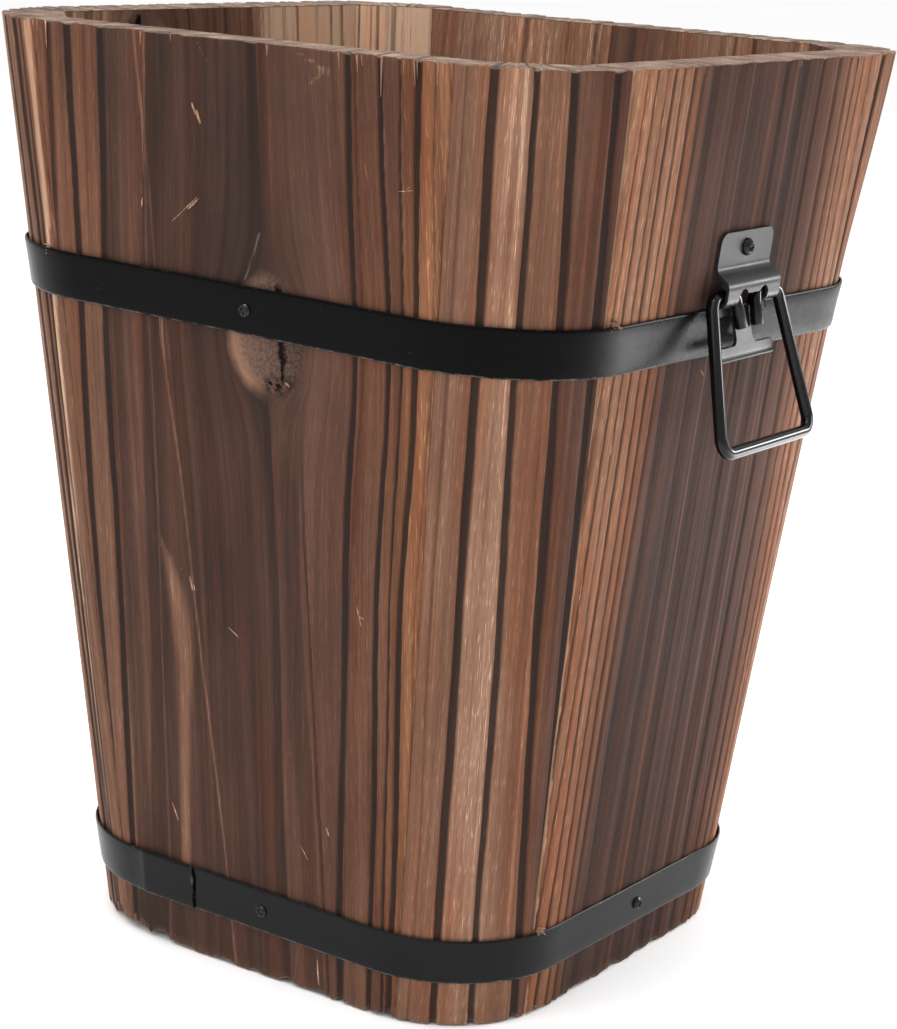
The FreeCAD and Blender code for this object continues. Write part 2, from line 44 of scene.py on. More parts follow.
# bucket body, in millimetres, as the solids have it
bucketSizes = {"topWidth": 230.0, "baseWidth": 171.0, "height": 300.0, "wall": 17.0,
               "topRound": 44.0, "baseRound": 41.0, "topTail": 7.0, "baseTail": 10.0}


def sizeAt(name, z):
    low = bucketSizes["base" + name]
    high = bucketSizes["top" + name]
    return low + (high - low) * z / bucketSizes["height"]


def halfAt(z):
    return sizeAt("Width", z) / 2


def edgeAt(z):
    return halfAt(z) - sizeAt("Round", z) + sizeAt("Tail", z)


def smoothStep(low, high, value):
    part = min(max((value - low) / (high - low), 0.0), 1.0)
    return part * part * (3 - 2 * part)


def between(stops, place):
    if place <= stops[0][0]:
        return stops[0][1]
    for (start, first), (end, last) in zip(stops, stops[1:]):
        if place <= end:
            return first + (last - first) * (place - start) / (end - start)
    return stops[-1][1]


def noiseAt(x, y, z):
    return noise.noise(Vector((x, y, z)))


def aboutZ(degrees):
    return Matrix.Rotation(radians(degrees), 4, "Z")


# node helpers; a socket tells them which tree it is in
def addNode(tree, kind, inputs=None, **settings):
    node = tree.nodes.new(kind)
    for name, value in settings.items():
        setattr(node, name, value)
    for socket, value in (inputs or {}).items():
        if isinstance(value, bpy.types.NodeSocket):
            tree.links.new(value, node.inputs[socket])
        else:
            node.inputs[socket].default_value = value
    return node


def mathNode(operation, first, second=0.5, third=0.5, clamp=False):
    values = {0: first, 1: second, 2: third}
    node = addNode(first.id_data, "ShaderNodeMath", values, operation=operation, use_clamp=clamp)
    return node.outputs[0]


def multiply(first, second):
    return mathNode("MULTIPLY", first, second)


def subtract(first, second):
    return mathNode("SUBTRACT", first, second)


def multiplyAdd(value, factor, base, clamp=False):
    return mathNode("MULTIPLY_ADD", value, factor, base, clamp)


# a noise swings about 0.5: that swing, times depth, is laid over base
def sway(value, depth, base):
    return multiplyAdd(subtract(value, 0.5), depth, base)


def offFrom(value, middle):
    return mathNode("ABSOLUTE", subtract(value, middle))


def mixColour(factor, first, second, blend="MIX"):
    node = addNode(first.id_data, "ShaderNodeMix", {"Factor": factor, 6: first, 7: second},
                   data_type="RGBA", blend_type=blend)
    return node.outputs[2]


def spread(value, fromLow, fromHigh, toLow=0.0, toHigh=1.0):
    inputs = {"Value": value, 1: fromLow, 2: fromHigh, 3: toLow, 4: toHigh}
    return addNode(value.id_data, "ShaderNodeMapRange", inputs).outputs[0]


def scaledNoise(place, scale, detail=3.0, roughness=0.55):
    tree = place.id_data
    sized = addNode(tree, "ShaderNodeVectorMath", {0: place, 1: scale}, operation="MULTIPLY")
    grain = addNode(tree, "ShaderNodeTexNoise",
                    {"Vector": sized.outputs[0], "Scale": 1.0, "Detail": detail, "Roughness": roughness})
    return grain.outputs[0]


def colourRamp(value, stops):
    ramp = addNode(value.id_data, "ShaderNodeValToRGB", {0: value})
    bar = ramp.color_ramp
    while len(bar.elements) < len(stops):
        bar.elements.new(0.5)
    for element, (place, colour) in zip(bar.elements, stops):
        element.position = place
        element.color = (*colour, 1.0)
    return ramp.outputs[0]


def readAttribute(tree, name, output="Fac"):
    return addNode(tree, "ShaderNodeAttribute", attribute_name=name).outputs[output]


def objectPlace(tree):
    return addNode(tree, "ShaderNodeTexCoord").outputs["Object"]


def startMaterial(name):
    material = bpy.data.materials.new(name)
    material.use_nodes = True
    tree = material.node_tree
    return material, tree, tree.nodes["Principled BSDF"]


def dressShader(shader, colour, rough, height, strength, distance, specular):
    tree = shader.id_data
    bump = addNode(tree, "ShaderNodeBump", {"Strength": strength, "Distance": distance, "Height": height})
    for socket, value in (("Base Color", colour), ("Roughness", rough), ("Normal", bump.outputs[0])):
        tree.links.new(value, shader.inputs[socket])
    shader.inputs["Specular IOR Level"].default_value = specular


def startGroup(name, inputs, outputs):
    tree = bpy.data.node_groups.new(name, "ShaderNodeTree")
    for label, kind, value in inputs:
        socket = tree.interface.new_socket(label, in_out="INPUT", socket_type="NodeSocket" + kind)
        socket.default_value = value
    for label, kind in outputs:
        tree.interface.new_socket(label, in_out="OUTPUT", socket_type="NodeSocket" + kind)
    return tree.nodes.new("NodeGroupInput"), tree.nodes.new("NodeGroupOutput")


def closeGroup(end, results):
    tree = end.id_data
    for label, socket in results.items():
        tree.links.new(socket, end.inputs[label])
    return tree


def useGroup(tree, group, inputs):
    return addNode(tree, "ShaderNodeGroup", inputs, node_tree=group).outputs


# long fibres of sawn fir, used by the walls, the slivers and the floor planks
def buildFirFibres():
    start, end = startGroup(
        "firFibres",
        [("Place", "Vector", (0, 0, 0)), ("Tone", "Float", 0.5),
         ("Depth", "Float", 0.3)],
        [("Color", "Color"), ("Height", "Float"), ("Fibre", "Float")])
    place = start.outputs["Place"]
    given = start.outputs["Tone"]
    fine = scaledNoise(place, (2.1, 2.1, 0.045), 4.0, 0.62)
    broad = scaledNoise(place, (0.42, 0.42, 0.005), 3.0)
    cloud = scaledNoise(place, (0.03, 0.03, 0.014), 2.0)
    pores = scaledNoise(place, (6.0, 6.0, 0.2), 2.0)
    fleck = scaledNoise(place, (3.4, 3.4, 0.17), 2.0, 0.4)
    hue = scaledNoise(place, (0.09, 0.09, 0.006), 2.0)
    tone = sway(broad, start.outputs["Depth"], given)
    tone = sway(fine, multiplyAdd(given, 0.28, 0.14), tone)
    tone = sway(pores, 0.2, sway(cloud, 0.3, tone))
    glint = spread(fleck, 0.58, 0.7, 0.0, 0.22)
    tone = multiplyAdd(glint, given, tone, True)
    # the darker stops are greyed a little: painted sheen of the charred face
    colour = colourRamp(tone, [
        (0.0, (0.0166, 0.0115, 0.0104)), (0.22, (0.0445, 0.0258, 0.0209)), (0.45, (0.095, 0.0485, 0.0352)),
        (0.68, (0.182, 0.0935, 0.0615)), (0.86, (0.310, 0.176, 0.120)), (1.0, (0.60, 0.405, 0.285))])
    redder = mixColour(1.0, colour, (1.06, 0.86, 0.74, 1), "MULTIPLY")
    colour = mixColour(spread(hue, 0.48, 0.62, 0.0, 0.7), colour, redder)
    height = multiplyAdd(pores, 0.5, fine)
    return closeGroup(end, {"Color": colour, "Height": height, "Fibre": fine})


firFibres = buildFirFibres()


def seedShift(seed):
    return Vector((seed * 91.0, seed * 37.0, seed * 53.0))


# charred and brushed fir of the walls
def buildCharredFir():
    material, tree, shader = startMaterial("charredFir")
    place = readAttribute(tree, "grainPlace", "Vector")
    ends = readAttribute(tree, "endGrain")
    fibres = useGroup(tree, firFibres, {"Place": place, "Tone": readAttribute(tree, "tone"), "Depth": 0.42})
    fibre = fibres["Fibre"]

    # golden sapwood, dark late wood, and soot whose mask also carries painted sheen: the grey haze over the
    # right board's middle
    colour = mixColour(readAttribute(tree, "warm"), fibres["Color"], (1.12, 0.92, 0.70, 1), "MULTIPLY")
    stripeMask = spread(sway(fibre, 0.85, readAttribute(tree, "stripe")), 0.2, 0.8, 0.0, 0.9)
    colour = mixColour(stripeMask, colour, (0.022, 0.0164, 0.0150, 1))
    sootAndSheenMask = spread(sway(fibre, 0.6, readAttribute(tree, "sootAndSheen")), 0.05, 1.0, 0.0, 0.8)
    colour = mixColour(sootAndSheenMask, colour, (0.034, 0.025, 0.0215, 1))

    # knots: a pinkish plug, pale along its left margin, cracked and broken along its lower rim
    knotPlace = readAttribute(tree, "knotPlace", "Vector")
    warp = scaledNoise(knotPlace, (1.7, 1.7, 1.7), 3.0)
    length = addNode(tree, "ShaderNodeVectorMath", {0: knotPlace}, operation="LENGTH").outputs["Value"]
    away = sway(warp, 0.3, length)
    parts = addNode(tree, "ShaderNodeSeparateXYZ", {0: knotPlace})
    aside = parts.outputs[0]
    along = parts.outputs[2]
    knotMask = spread(away, 1.08, 0.86)
    weave = scaledNoise(knotPlace, (11.0, 11.0, 17.0), 3.0, 0.75)
    shade = multiplyAdd(aside, -0.2, multiply(weave, 0.9))
    knotColour = colourRamp(shade, [
        (0.18, (0.036, 0.024, 0.020)), (0.42, (0.098, 0.058, 0.045)), (0.75, (0.20, 0.118, 0.086))])
    waves = scaledNoise(knotPlace, (2.5, 2.5, 3.5), 4.0, 0.7)
    wavy = sway(waves, 0.5, subtract(aside, 0.34))
    gape = spread(along, -0.9, 0.1, 0.015, 0.11)
    opened = spread(subtract(mathNode("ABSOLUTE", wavy), gape), 0.03, -0.02)
    split = multiply(opened, spread(length, 0.95, 0.8))
    crumbs = scaledNoise(knotPlace, (6.0, 6.0, 11.0), 4.0, 0.75)
    nearCrack = spread(offFrom(aside, 0.4), 0.6, 0.4)
    lowRim = multiply(spread(along, -0.6, -0.78), nearCrack)
    broken = multiply(spread(crumbs, 0.46, 0.53), lowRim)
    crackMask = mathNode("MAXIMUM", split, multiply(broken, knotMask))
    colour = mixColour(knotMask, colour, knotColour)
    margin = spread(offFrom(away, 0.97), 0.22, 0.0, 0.0, 0.8)
    leftBelow = multiply(spread(aside, -0.1, -0.6), spread(along, 0.5, 0.0))
    colour = mixColour(multiply(margin, leftBelow), colour, (0.30, 0.165, 0.105, 1))
    colour = mixColour(crackMask, colour, (0.007, 0.005, 0.005, 1))

    # bare worn edges and nicks
    wearMask = spread(sway(fibre, 0.9, readAttribute(tree, "wear")), 0.3, 0.8, 0.0, 0.9)
    colour = mixColour(wearMask, colour, (0.46, 0.285, 0.185, 1))

    # sawn ends
    speckle = scaledNoise(place, (1.5, 0.09, 0.4), 4.0, 0.65)
    saw = scaledNoise(place, (0.5, 1.9, 0.4), 3.0, 0.6)
    grime = scaledNoise(place, (0.07, 0.1, 0.05), 3.0)
    endTone = sway(grime, 0.7, sway(saw, 0.5, speckle))
    endColour = colourRamp(endTone, [
        (0.2, (0.055, 0.040, 0.034)), (0.5, (0.215, 0.152, 0.120)), (0.8, (0.42, 0.31, 0.245))])
    endColour = mixColour(multiply(stripeMask, 0.75), endColour, (0.06, 0.043, 0.036, 1))
    colour = mixColour(ends, colour, endColour)

    rough = multiplyAdd(wearMask, 0.18, multiplyAdd(fibre, 0.3, 0.36))
    rough = multiplyAdd(ends, 0.3, rough, True)
    height = multiplyAdd(speckle, ends, fibres["Height"])
    height = multiplyAdd(crackMask, -2.5, height)
    height = multiplyAdd(wearMask, -0.6, height)
    dressShader(shader, colour, rough, height, 0.5, 0.0004, 0.02)
    return material


# fir without char, for slivers and floor planks
def buildPlainFir(name, turned, tone, depth, roughness, bump, specular):
    material, tree, shader = startMaterial(name)
    laid = addNode(tree, "ShaderNodeMapping", {"Vector": objectPlace(tree), "Rotation": (0, turned, 0),
                                               "Scale": (1000, 1000, 1000)})
    fibres = useGroup(tree, firFibres, {"Place": laid.outputs[0], "Tone": tone, "Depth": depth})
    rough = multiplyAdd(fibres["Fibre"], *roughness, True)
    dressShader(shader, fibres["Color"], rough, fibres["Height"], *bump, specular)
    return material


def finishMesh(bm, name, material, sharp=40.0):
    bmesh.ops.recalc_face_normals(bm, faces=bm.faces)
    for face in bm.faces:
        face.smooth = True
    mesh = bpy.data.meshes.new(name)
    bm.to_mesh(mesh)
    bm.free()
    mesh.set_sharp_from_angle(angle=radians(sharp))
    mesh.materials.append(material)
    piece = bpy.data.objects.new(name, mesh)
    scene.collection.objects.link(piece)
    return piece


def standFor(piece, node, body):
    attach(piece, body)
    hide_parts(node)


# a grid laid round a closed section: place(i, j) gives each crossing's point and attributes
def wrapGrid(columns, rows, place, floats, vectors=()):
    bm = bmesh.new()
    bmesh.ops.create_grid(bm, x_segments=columns, y_segments=rows, size=1.0)
    layers = {name: bm.verts.layers.float.new(name) for name in floats}
    layers.update({name: bm.verts.layers.float_vector.new(name) for name in vectors})
    for vert in bm.verts:
        i = round((vert.co.x + 1) / 2 * columns)
        j = round((vert.co.y + 1) / 2 * rows) % rows
        point, facts = place(i, j)
        vert.co = point * mm
        for name, value in facts.items():
            vert[layers[name]] = value
    bmesh.ops.remove_doubles(bm, verts=bm.verts, dist=1e-7)
    bmesh.ops.holes_fill(bm, edges=[edge for edge in bm.edges if edge.is_boundary], sides=0)
    return bm


# boards and corner staves: stripes and pale lines are (place at the high mark, place at the low mark, half
# width, strength) and may add the height they end at; tones run from 0 for dark brown to 1 for pale wood
# the inside tones of the left board, the back boards and the back-left stave are set lighter than the wood:
# painted light on their shaded insides
wallLooks = {
    "front_board": {
        "turn": 0, "seed": 3, "slant": 0.13, "columns": 270, "rows": 190, "fade": -0.045,
        "stripes": [(-70, -69, 1.1, 0.7), (-61.3, -60.3, 1.2, 1.0), (-49.9, -50.5, 1.2, 0.9),
            (-45.2, -46, 3.2, 0.5), (-29.0, -36, 4.0, 0.58), (-13, -5, 2.2, 0.36), (9.0, 12.0, 1.8, 0.62),
            (13.5, 20.6, 3.4, 0.5, 185), (17.6, 24.9, 0.6, 0.6, 190), (41.0, 36.3, 1.0, 0.95),
            (43.6, 38.0, 0.4, 0.5), (53.0, 48.3, 0.8, 1.0), (58.9, 53.2, 0.5, 0.8), (64.6, 56.5, 0.95, 1.0),
            (70.0, 61, 0.4, 0.5), (73.0, 64.5, 0.35, 0.4)],
        "warmOut": [(-80, 0.2), (-50, 0.0), (30, 0.0), (56, 0.3), (66, 0.9), (80, 0.8)],
        "paleLines": [(-31.0, -34.2, 0.4, 0.75), (-31.8, -16.6, 0.4, 0.8), (-46.4, -49.0, 0.3, 0.4)],
        "toneOut": [(-76, 0.58), (-66, 0.53), (-55, 0.55), (-48, 0.42), (-36, 0.37), (-24, 0.3), (-8, 0.25),
            (6, 0.27), (14, 0.37), (26, 0.43), (40, 0.46), (56, 0.48), (64, 0.5), (70, 0.68), (78, 0.72)],
        "toneInWithPaintedLight": [(-80, 0.45), (80, 0.4)],
        "knots": [(12.0, 214.0, 14.0, 18.5)],
        "rubs": [(9.1, 244, 3.3, 230, 0.6, 0.42), (23.5, 298.5, 35.8, 293.4, 0.9, 0.4),
            (29.4, 289.7, 35.5, 294.5, 1.0, 0.36), (-30, 216, -28.5, 201, 2.0, 0.34),
            (-36, 142, -20, 129, 0.7, 0.33), (-34, 280, -35.7, 246.5, 0.6, 0.33),
            (-12, 298, -9, 293, 0.8, 0.36)],
        "smears": [(-42, 9, 17, 9, 0.95), (20, 240, 9, 16, 0.45), (25, 190, 14, 10, 0.4),
            (2, 120, 26, 70, 0.12), (-2, 275, 9, 40, 0.3)],
        "footChips": [(-51, 4.0, 1.8), (-41, 3.0, 1.0)],
        "flame": [(30, -27.8, 2.0), (51, -27.2, 2.1), (84.8, -26.0, 2.2), (101, -25.1, 3.0),
            (117, -26.3, 4.3), (127, -28.4, 3.8), (135, -31.0, 2.2), (143, -34.0, 0.4)],
        "wander": 1.7},
    "right_board": {
        "turn": 90, "seed": 11, "columns": 250, "rows": 120, "seamWear": (1.35, 0.5), "fade": 0.04,
        "stripes": [(-70.5, -66, 0.5, 0.6), (-65.2, -61.5, 0.6, 0.7), (-59.9, -57, 0.5, 0.65),
            (-55.3, -52.5, 0.7, 0.75), (-50.1, -46.8, 0.6, 0.7), (-44.8, -42, 0.8, 0.7),
            (-39.4, -37, 0.9, 0.6), (-32, -30, 2.4, 0.6), (-18, -17, 1.4, 0.5), (-6, -4, 3.0, 0.45),
            (12, 13, 1.2, 0.5), (24, 24, 2.2, 0.5), (36, 35, 1.0, 0.6), (47, 44, 1.1, 0.6),
            (54, 50, 0.7, 0.6), (59, 55, 0.6, 0.6), (63.5, 59, 0.6, 0.6), (69, 64, 0.7, 0.5)],
        "paleLines": [(-9, -8, 0.7, 0.4), (6, 7, 0.6, 0.45), (19, 20, 0.8, 0.35), (31, 30, 0.5, 0.35)],
        "toneOut": [(-78, 0.75), (-48, 0.72), (-40, 0.57), (-33, 0.35), (-20, 0.31), (0, 0.28), (20, 0.27),
            (36, 0.35), (48, 0.52), (58, 0.72), (78, 0.76)],
        "warmOut": [(-78, 0.6), (-44, 0.5), (-34, 0.0), (36, 0.0), (50, 0.2), (78, 0.25)],
        "toneInWithPaintedLight": [(-80, 0.5), (80, 0.45)],
        # the grey over the board's middle is painted sheen
        "paintedSheenOut": [(-34, 0.0), (-20, 0.1), (24, 0.12), (40, 0.0)],
        "smears": [(-18, 10, 15, 9, 0.7)]},
    "left_board": {
        "turn": 270, "seed": 23, "columns": 190, "rows": 110, "spacing": (5, 13),
        "toneOut": [(-78, 0.55), (-30, 0.4), (10, 0.34), (45, 0.5), (78, 0.68)],
        "toneInWithPaintedLight": [(-78, 1.08), (-30, 1.04), (-18, 0.8), (-4, 0.58), (10, 0.55), (28, 0.55), (46, 0.8),
            (78, 0.95)],
        "knots": [(39.0, 289.0, 11.0, 11.0)], "knotInside": True, "insideLines": 26},
    "back_left_board": {
        "turn": 180, "seed": 31, "columns": 100, "rows": 110, "side": 1, "spacing": (4, 11),
        "toneOut": [(0, 0.5), (40, 0.36), (78, 0.6)],
        "toneInWithPaintedLight": [(0, 0.68), (6, 0.84), (10, 0.74), (40, 0.82), (78, 0.68)],
        "greyIn": [(0, 0.2), (80, 0.22)],
        "insideLines": 14},
    "back_right_board": {
        "turn": 180, "seed": 37, "columns": 100, "rows": 110, "side": -1, "spacing": (5, 12),
        "toneOut": [(-78, 0.62), (-30, 0.42), (0, 0.48)],
        "toneInWithPaintedLight": [(-78, 0.74), (-30, 0.7), (0, 0.5)],
        "greyIn": [(-80, 0.08), (0, 0.25)],
        "insideLines": 13},
    "front_right_stave": {
        "turn": 0, "seed": 5, "slant": -0.08, "columns": 160, "rows": 150,
        "stripes": [(19.3, 21.1, 1.15, 1.0), (30.8, 33.3, 0.9, 1.0), (42.1, 46.5, 1.25, 1.0),
            (55.3, 55.5, 1.3, 1.0), (11.5, 13.5, 0.4, 0.4), (61.5, 61.5, 0.8, 0.5)],
        "paleLines": [(28.8, 31.4, 0.4, 0.5), (39.0, 43.6, 0.5, 0.4)],
        "toneOut": [(5, 0.58), (12, 0.66), (19, 0.68), (24, 0.8), (31, 0.75), (35, 0.64), (42, 0.6),
            (46, 0.48), (53, 0.38), (62, 0.36)],
        "toneInWithPaintedLight": [(-10, 0.45), (80, 0.5)]},
    "back_right_stave": {
        "turn": 90, "seed": 41, "columns": 110, "rows": 100, "spacing": (6, 14), "squarer": 3.2,
        "toneOut": [(-8, 0.78), (30, 0.66), (76, 0.5)],
        "toneInWithPaintedLight": [(-10, 0.5), (80, 0.45)],
        "insideLines": 4},
    "back_left_stave": {
        "turn": 180, "seed": 43, "columns": 110, "rows": 100, "spacing": (7, 15),
        "toneOut": [(-8, 0.55), (30, 0.72), (76, 0.6)],
        "toneInWithPaintedLight": [(-10, 1.0), (30, 1.05), (80, 1.05)],
        "insideLines": 9},
    "front_left_stave": {
        "turn": 270, "seed": 47, "columns": 130, "rows": 110,
        "stripes": [(13, 14, 1.3, 0.9), (22, 23, 1.8, 0.9), (33, 33, 1.5, 1.0), (42, 42, 1.6, 0.9),
            (50.5, 47, 1.2, 0.9), (54.3, 50, 0.6, 0.7)],
        "paleLines": [(58.4, 49.0, 1.2, 1.4)],
        "footChips": [(50, 7.0, 2.0), (36, 3, 1.0)],
        "rubs": [(58.8, 298, 57.2, 236, 1.7, 0.7)],
        "toneOut": [(5, 0.66), (30, 0.76), (44, 0.74), (52, 0.6), (62, 0.64)],
        "toneInWithPaintedLight": [(-10, 0.45), (80, 0.4)]},
}
# for walls whose own look doesn't say
plainLook = {"slant": 0.0, "fade": 0.0, "wander": 0.9, "side": 0, "squarer": 0.0, "insideLines": 5,
             "seamWear": (0.55, 0.55), "paleLines": [], "knots": [], "knotInside": False, "rubs": [],
             "smears": [], "footChips": [], "flame": [], "warmOut": [(0, 0.1)], "paintedSheenOut": [(0, 0.0)],
             "greyIn": [(0, 0.0)]}
stripeMarks = {"high": 270.0, "low": 95.0, "fadeOut": 22.0}
reliefSizes = {"stripeDepth": 0.55, "fibreDepth": 0.16, "edgeEase": 0.8, "easeReach": 1.4, "jointGap": 0.16,
               "rimRound": 0.25, "footRound": 1.0, "footWave": 1.5, "rimWave": 0.26, "rimNotch": 0.7,
               "ringNotch": 0.12, "footNotch": 1.2, "wearDepth": 0.25, "paleRise": 0.1, "chipDepth": 0.9,
               "faceTop": 1.3, "faceFoot": 4.4, "insideTop": 1.6, "insideFoot": 3.0, "innerEase": 0.8}
charredFir = buildCharredFir()


def boardRows(count):
    # (height share, depth share, kind) once round the board: up the outside, over the rim, down the inside
    wall = bucketSizes["wall"]
    rows = [(0.0, 0.35 * reliefSizes["footRound"] / wall, "foot"), (0.0, 0.06 / wall, "footEdge")]
    rows += [((n + 0.5) / count, 0.0, "out") for n in range(count)]
    rows += [(1.0, 0.0, "rimEdge"), (1.0, 0.3 * reliefSizes["rimRound"] / wall, "rim"),
             (1.0, 1.4 * reliefSizes["rimRound"] / wall, "rim")]
    rows += [(1.0, share, "rim") for share in (0.2, 0.33, 0.47, 0.6, 0.74, 0.87)]
    rows += [(1.0, 0.96, "rim"), (1.0, 1.0, "innerEdge"), (1.0, 1.0, "inTop")]
    inside = max(count // 4, 20)
    rows += [(1 - (n + 0.5) / inside, 1.0, "in") for n in range(inside)]
    rows += [(0.0, 1.0, "footIn"), (0.0, 0.8, "foot"), (0.0, 0.45, "foot")]
    return rows


def sortStripes(look, rng, low, high):
    if "stripes" in look:
        return look["stripes"]
    stripes = []
    place = low + rng.uniform(2, 6)
    while place < high:
        stripes.append((place, place + rng.uniform(-2, 2), rng.uniform(0.6, 1.9), rng.uniform(0.6, 1.0)))
        place += rng.uniform(*look["spacing"])
    return stripes


def markShare(z):
    return (z - stripeMarks["low"]) / (stripeMarks["high"] - stripeMarks["low"])


def lineValue(lines, x, outer, core):
    # lines are (middle, half width, strength)
    value = 0.0
    for middle, reach, strength in lines:
        value = max(value, strength * smoothStep(outer, core, abs(x - middle) / reach))
    return value


def ringValue(centres, x, soft):
    # late wood darkens slowly on its soft side and ends sharply on the other
    value = 0.0
    for centre, reach, dark in centres:
        away = (x - centre) / reach
        outer, core = (2.3, 0.4) if away * soft > 0 else (1.25, 0.7)
        value = max(value, dark * smoothStep(outer, core, abs(away)))
    return value


def rubValue(rubs, x, z):
    # worn lines: (x, z) from and to, half width, strength
    value = 0.0
    for x0, z0, x1, z1, reach, strength in rubs:
        run = Vector((x1 - x0, z1 - z0))
        share = min(max(((x - x0) * run.x + (z - z0) * run.y) / run.length_squared, 0.0), 1.0)
        away = hypot(x - x0 - run.x * share, z - z0 - run.y * share) / reach
        value = max(value, strength * smoothStep(1.7, 0.4, away))
    return value


def flameValue(flame, x, z):
    # a pale tongue, wider half way up: (height, middle, half width)
    if not flame or not flame[0][0] < z < flame[-1][0]:
        return 0.0
    middle = between([stop[:2] for stop in flame], z)
    reach = between([stop[::2] for stop in flame], z)
    return 0.9 * smoothStep(1.6, 0.2, abs(x - middle) / reach)


def smearValue(smears, x, z, seed):
    # soot: middle (x, z), reach along x and z, strength
    value = 0.0
    for sx, sz, rx, rz, strength in smears:
        spot = exp(-((x - sx) / rx) ** 2 - ((z - sz) / rz) ** 2)
        value += strength * spot * (0.8 + 0.8 * noiseAt(x * 0.12, seed, z * 0.05))
    return value


def roundKnot(look, x, z, outside):
    # lines bend round a knot: place in the straight grain, place in the knot, shade about it
    grainX = x
    knotPlace = Vector((9, 9, 9))
    halo = 0.0
    for kx, kz, rx, rz in look["knots"]:
        if outside == look["knotInside"]:
            continue
        dx = x - kx
        dz = z - kz
        away = (dx / rx) ** 2 + (dz / rz) ** 2
        grainX = kx + dx * max(1 - 0.8 / max(away, 0.8), 0.0)
        knotPlace = Vector((dx / rx, 0, dz / rz))
        halo = exp(-((dx / (1.7 * rx)) ** 2 + ((dz - 0.6 * rz) / (2.3 * rz)) ** 2))
    return grainX, knotPlace, halo


def buildWallPiece(name, look):
    height = bucketSizes["height"]
    seed = look["seed"]
    rng = random.Random(seed)
    stave = name.endswith("stave")
    rows = boardRows(look["rows"])
    columns = look["columns"]
    low, high = (5.0, 63.0) if stave else (-80.0, 80.0)
    stripes = sortStripes(look, rng, low, high)
    insideStripes = []
    for n in range(look["insideLines"]):
        top = rng.uniform(low, high)
        base = top + (rng.uniform(low, high) - top) * 0.04
        insideStripes.append((top, base, rng.uniform(0.5, 1.3), rng.uniform(0.3, 0.7)))
    turn = aboutZ(look["turn"])
    lift = rng.uniform(0.0, 0.35)

    def centresAt(lines, z, drift):
        centres = []
        for top, base, reach, dark, *limit in lines:
            centre = base + (top - base) * markShare(z)
            centre += look["wander"] * noiseAt(z * 0.011, top * 0.37, seed)
            centre += 0.25 * noiseAt(z * 0.05, top, seed + 4)
            reach *= 1 + drift * noiseAt(z * 0.016, top, seed + 9)
            if limit:
                dark *= smoothStep(limit[0] + stripeMarks["fadeOut"], limit[0] - stripeMarks["fadeOut"], z)
            centres.append((centre, reach, dark))
        return centres

    def spanAt(z):
        if stave:
            radius = sizeAt("Round", z)
            over = asin(sizeAt("Tail", z) / radius) * radius
            return over, pi / 2 * radius - over
        edge = edgeAt(z)
        side = look["side"]
        return (0.0 if side > 0 else -edge), (0.0 if side < 0 else edge)

    def shellPoint(x, z, depthShare, sink):
        half = halfAt(z)
        inner = half - bucketSizes["wall"]
        radius = sizeAt("Round", z)
        centre = half - radius
        if stave:
            angle = x / radius
            edge = edgeAt(z)
            outward = Vector((sin(angle), -cos(angle), 0))
            first, last = spanAt(z)
            part = (x - first) / (last - first)
            full = look["squarer"] * smoothStep(215, 300, z) * max(sin(pi * part), 0.0)
            outer = Vector((centre, -centre, z)) + outward * (radius - sink + full)
            inside = Vector((edge + (inner - edge) * part, -inner + (inner - edge) * part, z))
        else:
            over = abs(x) - centre
            reach = half if over <= 0 else centre + sqrt(radius * radius - over * over)
            outer = Vector((x, -reach + sink, z))
            inside = Vector((x, -inner, z))
        return outer.lerp(inside, depthShare)

    cache = {}

    def rowFacts(z):
        key = round(z, 2)
        if key not in cache:
            cache[key] = (centresAt(stripes, z, 0.35), centresAt(look["paleLines"], z, 0.5),
                          centresAt(insideStripes, z, 0.3))
        return cache[key]

    def place(i, j):
        heightShare, depthShare, kind = rows[j]
        z = heightShare * height
        first, last = spanAt(z)
        x = first + (last - first) * i / columns
        outside = depthShare < 0.5
        dark, pale, inside = rowFacts(z)
        grainX, knotPlace, halo = roundKnot(look, x, z, outside)
        softSide = 1 if stave or grainX < 0 else -1
        sawn = kind not in ("out", "in", "inTop")
        arched = grainX * (1 + 0.16 * depthShare * (1 - depthShare) + 0.05 * depthShare) if sawn else grainX
        stripe = ringValue(dark if outside or sawn else inside, arched, softSide)
        # tones slant with the rings; the inside tones are partly painted light
        slant = x + look["slant"] * max(x, 0.0) * (1 - markShare(z))
        tone = between(look["toneOut" if outside else "toneInWithPaintedLight"], slant)
        # one mask holds soot, the knot's grey halo, the inside grey and, outside, painted sheen
        sootAndSheen = halo * 0.5 + max(between(look["paintedSheenOut" if outside else "greyIn"], x), 0.0)
        warm = 0.12
        wear = 0.0
        sink = 0.0
        endGrain = 0.0
        footChip = lineValue(look["footChips"], x, 1.4, 0.4)
        if outside:
            tone -= look["fade"] * smoothStep(220, 100, z)
            sootAndSheen += smearValue(look["smears"], x, z, seed)
            warm = between(look["warmOut"], slant)
            wear = rubValue(look["rubs"], x, z)
            paleValue = max(lineValue(pale, grainX, 1.7, 0.5), flameValue(look["flame"], x, z))
            tone += 0.55 * paleValue * (1 - tone)
            fibre = noiseAt(grainX * 0.55, seed, z * 0.007) + 0.5 * noiseAt(grainX * 1.3, seed + 3, z * 0.012)
            sink = reliefSizes["fibreDepth"] * (0.75 - 0.5 * fibre) + reliefSizes["stripeDepth"] * stripe
            sink += reliefSizes["wearDepth"] * wear - reliefSizes["paleRise"] * paleValue
            # eased and rubbed edges at the joints
            fromJoint = min(x - first, last - x)
            ease = max(1 - fromJoint / reliefSizes["easeReach"], 0.0)
            sink += reliefSizes["edgeEase"] * ease * ease
            rubbed = look["seamWear"][0 if x - first < last - x else 1]
            ragged = 1 + 0.9 * noiseAt(z * 0.09, seed, 2.0) + 0.6 * noiseAt(z * 0.35, seed, 6.0)
            wear = max(wear, rubbed * smoothStep(max(0.6 * ragged, 0.22), 0.15, fromJoint))
